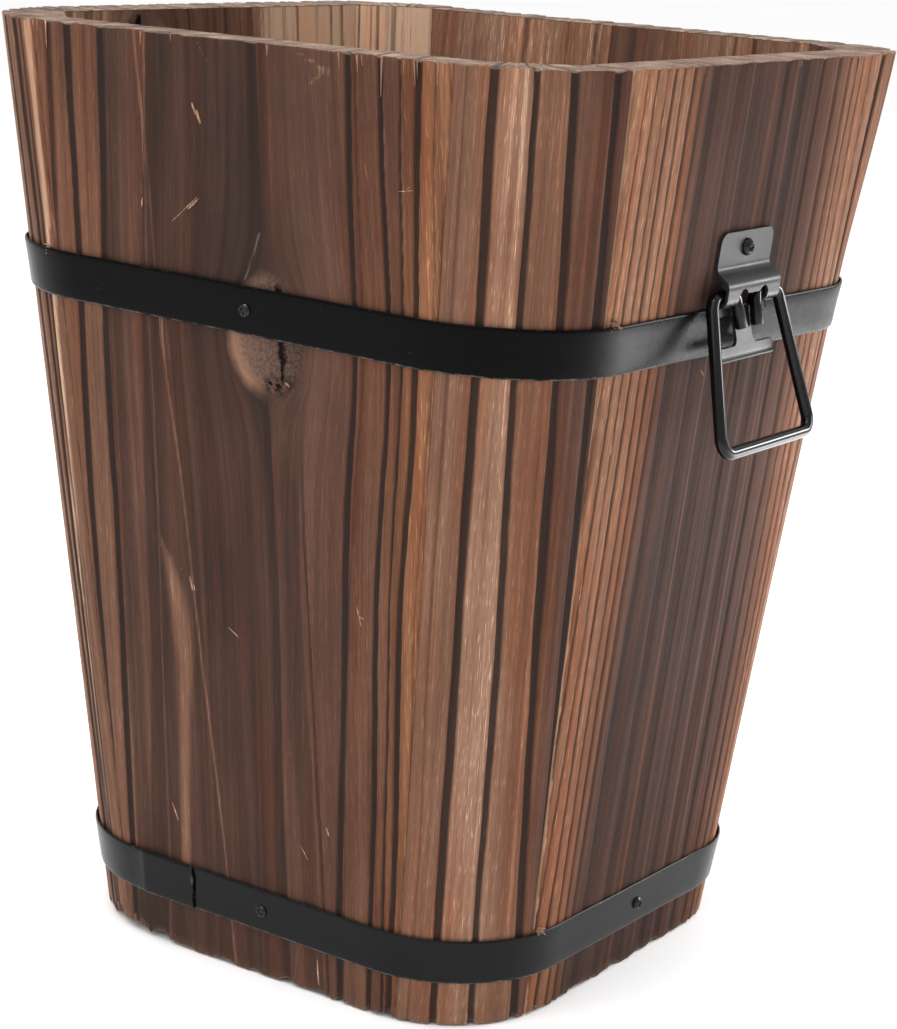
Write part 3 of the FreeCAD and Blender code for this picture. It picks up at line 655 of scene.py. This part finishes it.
            # splintered foot
            if footChip > 0:
                show = smoothStep(footChip * 2.4, footChip * 1.1, z)
                wear = max(wear, 0.3 * show)
                sink += reliefSizes["chipDepth"] * show
        rag = noiseAt(x * 0.5, seed + 7, depthShare * 3) + 0.6 * noiseAt(x * 1.4, seed + 2, depthShare * 5)
        if kind == "inTop":
            z = height - lift - reliefSizes["innerEase"]
        elif kind in ("rim", "rimEdge", "innerEdge"):
            slow = noiseAt(x * 0.07, seed + 8, 1.0)
            notch = reliefSizes["rimNotch" if depthShare < 0.1 else "ringNotch"]
            z = height - lift - reliefSizes["rimWave"] * (0.8 + 0.5 * slow + 0.4 * rag) - notch * stripe
            if kind == "rimEdge":
                z -= reliefSizes["rimRound"] * (0.8 + 0.3 * slow)
                wear = max(wear, 0.3 + 0.2 * slow)
            elif depthShare < 0.05:
                z -= 0.3 * reliefSizes["rimRound"]
                wear = max(wear, 0.3 + 0.2 * slow)
                endGrain = 0.75
            else:
                endGrain = 1.0
            if kind == "innerEdge":
                z -= reliefSizes["rimRound"]
        elif heightShare == 0.0:
            wave = max(0.0, 0.3 + 0.8 * noiseAt(x * 0.11, seed + 5, 2.0) + 0.2 * rag)
            z = reliefSizes["footWave"] * wave * (0.6 if stave else 1.0) + footChip
            z += reliefSizes["footNotch"] * stripe
            endGrain = 0.85
            if kind == "footEdge":
                z += reliefSizes["footRound"]
                endGrain = 0.1
            elif kind == "foot" and depthShare < 0.2:
                z += 0.25
        elif outside:
            # the face gives way to the eased rim and foot
            z = max(min(z, height - lift - reliefSizes["faceTop"]), reliefSizes["faceFoot"] + footChip)
            sootAndSheen += 0.2 * smoothStep(26, 6, z) * (0.5 + 0.5 * noiseAt(x * 0.05, seed, 1.0))
        else:
            z = max(min(z, height - lift - reliefSizes["insideTop"]), reliefSizes["insideFoot"])
        gap = reliefSizes["jointGap"] * (1 + 0.8 * noiseAt(z * 0.03, seed, 5.0))
        if i == 0:
            x += gap
        elif i == columns:
            x -= gap
        facts = {"grainPlace": Vector((grainX, depthShare * bucketSizes["wall"], z)) + seedShift(seed),
                 "knotPlace": knotPlace, "stripe": stripe, "tone": tone, "warm": warm, "wear": wear,
                 "sootAndSheen": sootAndSheen, "endGrain": endGrain}
        return turn @ shellPoint(x, z, depthShare, sink), facts

    bm = wrapGrid(columns, len(rows), place, ("stripe", "tone", "warm", "wear", "sootAndSheen", "endGrain"),
                  ("grainPlace", "knotPlace"))
    return finishMesh(bm, name + "_wood", charredFir, 50.0)


for nodeName, look in wallLooks.items():
    standFor(buildWallPiece(nodeName, {**plainLook, **look}), nodeName, "bucket")
print("walls: boards and staves")

# pale slivers: torn fibres at the rim (place along the wall, width, length), nicks in the face (from and to
# as x and z, width) and tufts caught on the bands (x, z, reach, count)
sliverLooks = {
    0: {
        "rim": [(-71.5, 0.8, 8), (-75, 0.7, 3), (-77, 1.0, 2), (39.5, 0.6, 5), (46, 0.9, 5), (47.5, 0.5, 3),
            (54.5, 0.8, 11), (62, 0.8, 4), (65.5, 0.7, 7), (66.5, 0.5, 5), (70, 0.5, 3.5), (73.5, 0.7, 6),
            (14, 1.0, 3), (-33.5, 0.8, 4), (-22, 0.5, 2)],
        "nicks": [(-14.8, 280.2, -13.4, 276.6, 1.0), (-13.2, 278.2, -11.7, 274, 1.3),
            (-24.3, 243.4, -13.4, 252.6, 0.5), (-17.5, 248.2, -13.2, 251.8, 1.0),
            (-35.4, 249.5, -35.7, 246.5, 0.9), (43, 136, 44.8, 129, 0.8), (44, 132.5, 46, 131.8, 0.8),
            (59.5, 262.2, 65, 263.2, 0.5), (62, 262.8, 64, 264.2, 0.4), (-7, 118, -2, 115, 0.5),
            (-22, 132, -21, 127, 1.0), (-20.6, 130, -19.8, 126, 0.7), (-33, 52, -30.5, 46, 0.8),
            (30, 60, 31, 57, 0.7), (25.4, 12.7, 25.9, 3.5, 1.0), (19.6, 51, 22.6, 46.5, 0.4),
            (48, 270, 49, 264, 0.4), (69, 283, 70.5, 276, 0.6), (17.6, 200.5, 19.6, 199.4, 0.9),
            (62, 288, 62.6, 281, 0.5)],
        "tufts": [(-75, 228.6, 1.6, 7)]},
    90: {
        "rim": [(-70, 0.6, 3), (-64, 0.5, 2), (-40, 0.5, 2), (20, 0.6, 2), (60, 0.6, 3)],
        "nicks": [(-66.5, 213, -65.6, 203, 0.6), (-67, 199, -66.2, 193, 0.7), (-60, 190, -59, 186, 0.8),
            (-58.5, 95, -57.8, 86, 0.6), (-56.5, 72, -56, 64, 0.7), (-63.5, 150, -63, 140, 0.5),
            (-12, 206, -9, 203.6, 0.7)],
        "tufts": [(-69.0, 226.2, 2.6, 14), (-55.4, 30.2, 2.2, 12)]},
    180: {
        "rim": [(-62, 0.6, 3), (-38, 0.7, 2.5), (12, 0.6, 4), (41, 0.8, 2), (66, 0.6, 5)],
        "nicks": [(-40, 150, -38, 143, 0.7), (22, 262, 24, 257, 0.8), (50, 90, 50.5, 82, 0.6)],
        "tufts": []},
    270: {
        "rim": [(-58, 0.7, 3), (-12, 0.6, 2), (33, 0.7, 3.5), (70, 0.6, 4)],
        "nicks": [(-20, 120, -18.5, 113, 0.7), (36, 268, 37.5, 262, 0.7)],
        "tufts": []},
}


def wallSpot(turn, x, z, growth):
    radius = sizeAt("Round", z)
    flat = halfAt(z) - radius
    angle = max(abs(x) - flat, 0.0) / radius
    reach = radius + growth
    side = min(max(x, -flat), flat) + copysign(reach * sin(angle), x)
    return aboutZ(turn) @ Vector((side, -flat - reach * cos(angle), z))


def laySliver(bm, made, start, end, outward, thin):
    # lies from start to end, flat on the wall
    along = end - start
    across = along.cross(outward).normalized()
    depth = across.cross(along).normalized() * -thin
    local = Matrix((across, depth, along.normalized())).transposed().to_4x4()
    local.translation = (start + end) / 2
    bmesh.ops.transform(bm, matrix=Matrix.Scale(mm, 4) @ local, verts=made["verts"])


def addSpike(bm, start, end, outward, wide, narrow, sides, thin):
    made = bmesh.ops.create_cone(bm, cap_ends=True, segments=sides, radius1=wide, radius2=narrow,
                                 depth=(end - start).length)
    laySliver(bm, made, start, end, outward, thin)


def buildSlivers(turn, look):
    rng = random.Random(turn + 5)
    bm = bmesh.new()
    rimZ = 299.2

    def outwardAt(x, z):
        return wallSpot(turn, x, z, 1.0) - wallSpot(turn, x, z, 0.0)

    for x, width, length in look["rim"]:
        start = wallSpot(turn, x, rimZ, -0.12)
        end = wallSpot(turn, x + rng.uniform(-0.4, 0.4), rimZ - length, -0.04)
        addSpike(bm, start, end, outwardAt(x, rimZ), width / 2, width * 0.1, 8, 0.4)
    for x0, z0, x1, z1, width in look["nicks"]:
        start = wallSpot(turn, x0, z0, -0.15)
        end = wallSpot(turn, x1, z1, -0.15)
        made = bmesh.ops.create_uvsphere(bm, u_segments=10, v_segments=7, radius=0.5)
        size = Vector((width * 0.8, width * 0.8, (end - start).length))
        for vert in made["verts"]:
            # ragged spindle
            vert.co *= 1 + rng.uniform(-0.25, 0.15)
        bmesh.ops.scale(bm, vec=size, verts=made["verts"])
        laySliver(bm, made, start, end, outwardAt(x0, z0), 0.4)
    for x, z, reach, count in look["tufts"]:
        for n in range(count):
            start = wallSpot(turn, x + rng.uniform(-reach, reach) * 0.6, z + rng.uniform(0.3, 1.2), -0.3)
            endX = x + rng.uniform(-reach, reach)
            endZ = z + rng.uniform(-1.6, 2.0)
            end = wallSpot(turn, endX, endZ, rng.uniform(1.2, 2.1))
            addSpike(bm, start, end, outwardAt(x, z), rng.uniform(0.25, 0.5), 0.1, 6, 0.6)
    return finishMesh(bm, "wood_slivers_%d" % turn, rawFir, 60.0)


rawFir = buildPlainFir("rawFir", 0.0, 0.8, 0.25, (0.2, 0.6), (0.4, 0.0002), 0.1)
for turn, look in sliverLooks.items():
    slivers = buildSlivers(turn, look)
    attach(slivers, "bucket")
print("slivers and nicks")


# satin black paint over steel; Wear shows the bare edge
def buildPaintedSteel():
    start, end = startGroup(
        "paintedSteel",
        [("Place", "Vector", (0, 0, 0)), ("Wear", "Float", 0.0),
         ("Base", "Color", (0, 0, 0, 1)), ("Roughness", "Float", 0.35)],
        [("Color", "Color"), ("Roughness", "Float"), ("Height", "Float")])
    place = start.outputs["Place"]
    cloud = scaledNoise(place, (40, 40, 40), 3.0)
    peel = scaledNoise(place, (900, 900, 900), 2.0)
    rubbed = scaledNoise(place, (260, 260, 260), 4.0, 0.7)
    specks = scaledNoise(place, (700, 700, 700), 2.0)
    edge = spread(sway(rubbed, 1.4, start.outputs["Wear"]), 0.45, 0.95)
    mask = mathNode("MAXIMUM", edge, spread(specks, 0.75, 0.8, 0.0, 0.35))
    colour = mixColour(mask, start.outputs["Base"], (0.14, 0.125, 0.115, 1))
    rough = sway(rubbed, 0.12, sway(cloud, 0.22, start.outputs["Roughness"]))
    rough = multiplyAdd(mask, 0.15, rough, True)
    height = multiplyAdd(rubbed, 0.6, peel)
    return closeGroup(end, {"Color": colour, "Roughness": rough, "Height": height})


paintedSteel = buildPaintedSteel()


def buildSteelMaterial(name, base, roughness, wearName=None, bumpStrength=0.12, specular=0.4):
    material, tree, shader = startMaterial(name)
    inputs = {"Place": objectPlace(tree), "Base": (*base, 1), "Roughness": roughness}
    if wearName:
        inputs["Wear"] = readAttribute(tree, wearName)
    paint = useGroup(tree, paintedSteel, inputs)
    results = [paint[label] for label in ("Color", "Roughness", "Height")]
    dressShader(shader, *results, bumpStrength, 0.0002, specular)
    return material


bandBlack = buildSteelMaterial("bandBlack", (0.0012, 0.0012, 0.0014), 0.27, "edgeWear", 0.04, 0.065)
# the lower band has the same black paint as the upper band with a lighter base colour: painted reflection of
# the pale floor
bandPaintedReflection = buildSteelMaterial("bandPaintedReflection", (0.005, 0.0051, 0.0055), 0.24, "edgeWear", 0.04, 0.14)
bracketGrey = buildSteelMaterial("bracketGrey", (0.02, 0.02, 0.0215), 0.34, None, 0.1, 0.3)
bailBlack = buildSteelMaterial("bailBlack", (0.0035, 0.0035, 0.0038), 0.13, None, 0.04, 0.3)
screwBlack = buildSteelMaterial("screwBlack", (0.005, 0.005, 0.006), 0.16, None, 0.05, 0.3)
nailSteel = buildSteelMaterial("nailSteel", (0.25, 0.24, 0.23), 0.42)

# bands: a bent strip whose last end lies over its first
bandLooks = {
    "upper_band": {"top": 226.7, "turn": 180, "seed": 2, "tilt": (-0.015, -0.013), "paint": bandBlack},
    "lower_band": {"top": 30.5, "turn": 0, "seed": 6, "tilt": (-0.012, -0.012), "paint": bandPaintedReflection},
}
bandSizes = {"high": 15.0, "thick": 0.8, "fit": 0.05, "lapEnd": -24.0, "lapLength": 20.0, "lapRise": 4.0,
             "dent": 0.09, "standOff": 0.5, "flatSteps": 26, "arcSteps": 14}


def bandDip(look, x, y):
    return look["tilt"][0] * x + look["tilt"][1] * y


def bandStations():
    # (side, share, arc) once round, from the first end of the strip to the end on top
    flats = [n / bandSizes["flatSteps"] for n in range(bandSizes["flatSteps"])]
    arcs = [n / bandSizes["arcSteps"] for n in range(bandSizes["arcSteps"])]
    stations = []
    for side in range(4):
        stations += [(side, share, False) for share in flats]
        stations += [(side, share, True) for share in arcs]
    return stations + [(4, share, False) for share in flats + [1.0]]


def bandRun(station, z):
    # place along the front, going on round the corner before it
    side, share, arc = station
    flat = halfAt(z) - sizeAt("Round", z)
    if arc:
        return -flat - (1 - share) * pi / 2 * sizeAt("Round", z)
    first = bandSizes["lapEnd"] - bandSizes["lapLength"] if side == 0 else -flat
    last = bandSizes["lapEnd"] if side == 4 else flat
    return first + (last - first) * share


def bandPoint(station, z, growth):
    side, share, arc = station
    half = halfAt(z)
    radius = sizeAt("Round", z)
    flat = half - radius
    if arc:
        angle = share * pi / 2
        reach = radius + growth
        point = Vector((flat + reach * sin(angle), -flat - reach * cos(angle), z))
    else:
        point = Vector((bandRun(station, z), -half - growth, z))
    return aboutZ(90 * side) @ point


def buildBand(name, look):
    stations = bandStations()
    thick = bandSizes["thick"]
    # (share of the height, share of the thickness) once round the strip
    section = [(0.0, 0.5), (0.02, 0.85), (0.07, 1.0), (0.28, 1.0), (0.5, 1.0), (0.72, 1.0), (0.93, 1.0),
               (0.98, 0.85), (1.0, 0.5), (1.0, 0.15), (0.985, 0.0), (0.5, 0.0), (0.015, 0.0), (0.0, 0.15)]
    turn = aboutZ(look["turn"])
    lapStart = bandSizes["lapEnd"] - bandSizes["lapLength"]
    seed = look["seed"]
    columns = len(stations) - 1

    def place(i, j):
        share, out = section[j]
        station = stations[i]
        z = look["top"] - bandSizes["high"] * (1 - share)
        over = 0.0
        if station[0] == 4 or station[0] == 3 and station[2]:
            over = smoothStep(lapStart - bandSizes["lapRise"], lapStart, bandRun(station, z))
        at = turn @ bandPoint(station, z, 0.0)
        dent = bandSizes["dent"] * (noiseAt(at.x * 0.05, at.y * 0.05, z * 0.09 + seed)
                                    + 0.5 * noiseAt(at.x * 0.16, at.y * 0.16, z * 0.2))
        growth = bandSizes["fit"] + thick * out + (thick + 0.02) * over
        if out > 0.1:
            growth += max(dent, -0.1)
        # the upper edge stands off the tapered wall, clear of the handles
        growth += bandSizes["standOff"] * share ** 2 * smoothStep(0.35, 0.75, abs(at.y) / halfAt(z))
        z += bandDip(look, at.x, at.y) + 0.12 * noiseAt(at.x * 0.04, at.y * 0.04, seed + share)
        point = turn @ bandPoint(station, z, growth)
        atEdge = 0.9 if share in (0.0, 0.02) else 0.45 if share in (0.98, 1.0) else 0.0
        if i >= columns - 1:
            point += turn @ Vector((0.7 * noiseAt(share * 9.0, seed, 3.0), 0, 0))
            atEdge = 0.55
        return point, {"edgeWear": 0.72 * atEdge}

    bm = wrapGrid(columns, len(section), place, ("edgeWear",))
    return finishMesh(bm, name + "_strip", look["paint"], 50.0)


for nodeName, look in bandLooks.items():
    standFor(buildBand(nodeName, look), nodeName, "bucket")
print("bands: upper and lower strips")

# pan-head screws with a cross recess
screwSizes = {"headWidth": 4.2, "headHigh": 1.4, "shank": 2.4, "cross": 0.42, "crossLong": 1.35,
              "crossDeep": 0.7, "cells": 30, "seat": 0.85}
handleScrewSizes = {"headWidth": 5.5, "headHigh": 2.0, "shank": 3.0, "cross": 0.5, "crossLong": 1.7,
                    "crossDeep": 0.9, "cells": 30, "seat": 1.0}


def vertsIn(items):
    return [item for item in items if isinstance(item, bmesh.types.BMVert)]


def edgesIn(items):
    return [item for item in items if isinstance(item, bmesh.types.BMEdge)]


def pullEdges(bm, edges):
    return bmesh.ops.extrude_edge_only(bm, edges=edges)["geom"]


def addScrew(bm, sizes, frameAt, twist):
    radius = sizes["headWidth"] / 2
    made = bmesh.ops.create_grid(bm, x_segments=sizes["cells"], y_segments=sizes["cells"], size=1.0)
    spin = Matrix.Rotation(twist, 4, "Z")
    for vert in made["verts"]:
        u, v = vert.co.x, vert.co.y
        # square grid drawn into a disc
        x = u * sqrt(1 - v * v / 2) * radius
        y = v * sqrt(1 - u * u / 2) * radius
        away = hypot(x, y) / radius
        z = sizes["headHigh"] * (1 - 0.72 * away ** 3.2)
        arm = min(max(abs(x), abs(y)) / sizes["crossLong"], 2.0)
        slot = smoothStep(sizes["cross"] * 1.25, sizes["cross"] * 0.7, min(abs(x), abs(y)))
        z -= sizes["crossDeep"] * slot * smoothStep(1.0, 0.8, arm) * (1 - 0.45 * arm)
        vert.co = Vector((x, y, z))
    rim = dict.fromkeys(edge for vert in made["verts"] for edge in vert.link_edges if edge.is_boundary)
    skirt = pullEdges(bm, list(rim))
    for vert in vertsIn(skirt):
        vert.co.z = 0.02
    neck = pullEdges(bm, edgesIn(skirt))
    narrow = sizes["shank"] / sizes["headWidth"]
    for vert in vertsIn(neck):
        vert.co = Vector((vert.co.x * narrow, vert.co.y * narrow, 0.0))
    stem = pullEdges(bm, edgesIn(neck))
    for vert in vertsIn(stem):
        vert.co.z = -sizes["seat"] - 0.6
    bmesh.ops.holes_fill(bm, edges=edgesIn(stem), sides=0)
    bmesh.ops.transform(bm, matrix=frameAt @ spin, verts=made["verts"] + vertsIn(skirt + neck + stem))


def wallFrame(turn, x, z, growth):
    # place on a wall: X along it, Y up it, Z out of it, in metres
    height = bucketSizes["height"]
    lean = atan2(halfAt(height) - halfAt(0), height)
    along = Vector((1, 0, 0))
    out = Vector((0, -cos(lean), -sin(lean)))
    local = Matrix((along, out.cross(along), out)).transposed().to_4x4()
    local.translation = Vector((x, -halfAt(z), z)) + out * growth
    return Matrix.Scale(mm, 4) @ aboutZ(turn) @ local


def buildScrews(name, places, sizes, material):
    bm = bmesh.new()
    for turn, x, z, growth, twist in places:
        addScrew(bm, sizes, wallFrame(turn, x, z, growth), twist)
    return finishMesh(bm, name + "_heads", material, 38.0)


# turn of the wall, place along it, height with the band's dip, growth and twist
bandScrews = {
    "upper_band_screws": [(0, 4.0, 219.2 + 1.4, 0.9, 0.5), (180, 4.0, 219.2 - 1.4, 0.9, 0.2)],
    "lower_band_screws": [(0, 4.0, 23.0 + 1.0, 0.9, 0.9), (90, 4.0, 23.0 - 1.1, 0.9, 0.3),
                          (180, 4.0, 23.0 - 1.0, 0.9, 0.7), (270, 4.0, 23.0 + 1.1, 0.9, 0.1)],
}
for nodeName, places in bandScrews.items():
    standFor(buildScrews(nodeName, places, screwSizes, screwBlack), nodeName, "bucket")
for nodeName, turn in (("right_handle_screw", 90), ("left_handle_screw", 270)):
    places = [(turn, 2.5, 243.3, 1.05, 0.45)]
    standFor(buildScrews(nodeName, places, handleScrewSizes, screwBlack), nodeName, "bucket")
print("screws")


# handle brackets: the folded sheet with its edges eased
def buildBracket(name):
    bm = bmesh.new()
    bm.from_mesh(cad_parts[name].data)
    bmesh.ops.remove_doubles(bm, verts=bm.verts, dist=2e-6)
    bmesh.ops.dissolve_limit(bm, angle_limit=radians(0.5), verts=bm.verts, edges=bm.edges)
    piece = finishMesh(bm, name + "_sheet", bracketGrey, 32.0)
    ease = piece.modifiers.new("easedEdges", "BEVEL")
    ease.width = 0.00022
    ease.segments = 2
    ease.limit_method = "ANGLE"
    ease.angle_limit = radians(38)
    ease.harden_normals = True
    return piece


for nodeName in ("right_handle_bracket", "left_handle_bracket"):
    standFor(buildBracket(nodeName), nodeName, "bucket")
print("brackets")

# bails: one bent wire, drawn by half and mirrored
bailSizes = {"wire": 4.0, "drop": 46.6, "round": 4.5, "barEnd": 16.9, "stub": 6.0, "stubLong": 10.5,
             "elbow": 2.5, "stubLean": 7.0, "splay": 9.8, "tilt": 15.0, "sides": 20, "tip": 0.3,
             "axis": {"right": (110.9339, 2.5, 229.0162), "left": (-110.9339, -2.5, 229.0162)}}


def ringMiddle(ring):
    return sum((edge.verts[0].co + edge.verts[1].co for edge in ring), Vector()) / (2 * len(ring))


def ringVerts(ring):
    return list(dict.fromkeys(vert for edge in ring for vert in edge.verts))


def runWire(bm, ring, heading, length):
    made = pullEdges(bm, ring)
    verts = vertsIn(made)
    bmesh.ops.translate(bm, vec=heading * length, verts=verts)
    return [edge for edge in edgesIn(made) if all(vert in verts for vert in edge.verts)]


def bendWire(bm, ring, heading, angle, radius, steps):
    # turns to the left in the plane of Y and Z
    middle = ringMiddle(ring) + Vector((0, -heading.z, heading.y)) * radius
    made = bmesh.ops.spin(bm, geom=ringVerts(ring) + ring, cent=middle, axis=(1, 0, 0), dvec=(0, 0, 0),
                          angle=angle, steps=steps, use_merge=False, use_duplicate=False)
    return edgesIn(made["geom_last"])


def headingAt(angle):
    return Vector((0, cos(angle), sin(angle)))


def buildBail(name, side):
    sizes = bailSizes
    splay = radians(sizes["splay"])
    stubLean = radians(sizes["stubLean"])
    bend = sizes["round"]
    topY = sizes["barEnd"] + bend * cos(splay)
    topZ = bend * sin(splay) - bend
    lowZ = bend - sizes["drop"] + bend * sin(splay)
    lowY = topY + (topZ - lowZ) * tan(splay)
    barLong = sizes["barEnd"] - sizes["stub"] - sizes["elbow"] * cos(stubLean)
    elbowLow = sizes["elbow"] * (sin(stubLean) - 1)
    bm = bmesh.new()
    bmesh.ops.create_circle(bm, cap_ends=False, segments=sizes["sides"], radius=sizes["wire"] / 2)
    bmesh.ops.rotate(bm, cent=(0, 0, 0), matrix=Matrix.Rotation(pi / 2, 3, "X"), verts=bm.verts)
    bmesh.ops.translate(bm, vec=(0, 0, -sizes["drop"]), verts=bm.verts)
    ring = list(bm.edges)
    heading = 0.0
    for length, angle, radius, steps in (
            (lowY - bend * cos(splay), pi / 2 + splay, bend, 12),
            ((topZ - lowZ) / cos(splay), pi / 2 - splay, bend, 10),
            (barLong, pi / 2 - stubLean, sizes["elbow"], 10)):
        ring = runWire(bm, ring, headingAt(heading), length)
        ring = bendWire(bm, ring, headingAt(heading), angle, radius, steps)
        heading += angle
    down = headingAt(heading)
    ring = runWire(bm, ring, down, (sizes["stubLong"] + elbowLow) / cos(stubLean) - sizes["tip"])
    ring = runWire(bm, ring, down, sizes["tip"])
    bmesh.ops.scale(bm, vec=(0.85, 0.85, 0.85), space=Matrix.Translation(-ringMiddle(ring)),
                    verts=ringVerts(ring))
    bmesh.ops.holes_fill(bm, edges=ring, sides=0)
    bmesh.ops.mirror(bm, geom=list(bm.verts) + list(bm.edges) + list(bm.faces), axis="Y", merge_dist=0.0)
    bmesh.ops.remove_doubles(bm, verts=bm.verts, dist=1e-4)
    hang = Matrix.Rotation(radians(-sizes["tilt"]), 4, "Y")
    if side == "left":
        hang = Matrix.Rotation(pi, 4, "Z") @ hang
    place = Matrix.Scale(mm, 4) @ Matrix.Translation(Vector(sizes["axis"][side])) @ hang
    bmesh.ops.transform(bm, matrix=place, verts=bm.verts)
    return finishMesh(bm, name + "_wire", bailBlack, 50.0)


for side in ("right", "left"):
    standFor(buildBail(side + "_bail", side), side + "_bail", side + "_handle")
print("bails")

# floor planks and nails keep their solids and take a finish
floorFir = buildPlainFir("floorFir", pi / 2, 0.62, 0.9, (0.25, 0.55), (0.5, 0.0004), 0.5)
finishes = {"bottom_plank_front": floorFir, "bottom_plank_rear": floorFir, "bottom_nails": nailSteel}
for nodeName, material in finishes.items():
    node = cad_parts[nodeName]
    node.data.materials.clear()
    node.data.materials.append(material)
print("floor planks and nails")

# studio: pale floor, soft light, camera
studioSizes = {"floor": 14.0, "floorTone": 0.95, "world": 0.7}


def buildStudio():
    bm = bmesh.new()
    bmesh.ops.create_grid(bm, x_segments=8, y_segments=8, size=studioSizes["floor"])
    material, tree, shader = startMaterial("paleFloor")
    tint = scaledNoise(objectPlace(tree), (3, 3, 3), 2.0)
    tone = studioSizes["floorTone"]
    colour = colourRamp(tint, [(0.3, (tone,) * 3), (0.7, (tone * 1.02,) * 3)])
    tree.links.new(colour, shader.inputs["Base Color"])
    shader.inputs["Roughness"].default_value = 0.9
    floor = finishMesh(bm, "studio_floor", material)
    world = scene.world or bpy.data.worlds.new("studioWorld")
    scene.world = world
    world.use_nodes = True
    shade = world.node_tree.nodes["Background"]
    shade.inputs["Color"].default_value = (1, 1, 1, 1)
    shade.inputs["Strength"].default_value = studioSizes["world"]


def addLamp(name, kind, place, target, energy, **settings):
    lamp = bpy.data.lights.new(name, kind)
    lamp.energy = energy
    for label, value in settings.items():
        setattr(lamp, label, value)
    holder = bpy.data.objects.new(name, lamp)
    holder.location = place
    holder.rotation_euler = (Vector(target) - Vector(place)).to_track_quat("-Z", "Y").to_euler()
    holder.visible_camera = False
    scene.collection.objects.link(holder)


buildStudio()
addLamp("keySun", "SUN", (-0.1, -1.6, 2.4), (0, 0, 0.15), 1.25, angle=radians(75))
addLamp("floorBox", "AREA", (0.46, 0.56, 0.3), (0.46, 0.56, 0.0), 10.0, size=0.45)
addLamp("topBox", "AREA", (-0.2, -0.3, 1.6), (0, 0, 0.25), 17.0, size=0.9)

# fitted to the photo: degrees and millimetres, and the focus in pixels
cameraSizes = {"azimuth": 33.979, "elevation": 13.984, "roll": 3.160, "away": 890.06, "aside": 6.432,
               "height": 138.90, "focus": 2640.55, "sensor": 36.0, "photoHigh": 1029}


def buildCamera():
    az, el, roll = [radians(cameraSizes[name]) for name in ("azimuth", "elevation", "roll")]
    back = Vector((sin(az) * cos(el), -cos(az) * cos(el), sin(el)))
    right = Vector((0, 0, 1)).cross(back).normalized()
    up = back.cross(right)
    across = right * cos(roll) + up * sin(roll)
    upward = up * cos(roll) - right * sin(roll)
    aside = cameraSizes["aside"]
    target = Vector((aside * cos(az), aside * sin(az), cameraSizes["height"]))
    data = bpy.data.cameras.new("photoCamera")
    data.sensor_width = cameraSizes["sensor"]
    data.lens = cameraSizes["focus"] * cameraSizes["sensor"] / cameraSizes["photoHigh"]
    data.clip_end = 50.0
    camera = bpy.data.objects.new("photoCamera", data)
    place = Matrix((across, upward, back)).transposed().to_4x4()
    place.translation = (target + back * cameraSizes["away"]) * mm
    camera.matrix_world = place
    scene.collection.objects.link(camera)
    scene.camera = camera


buildCamera()
scene.view_settings.view_transform = "Standard"
print("studio, lights and camera")
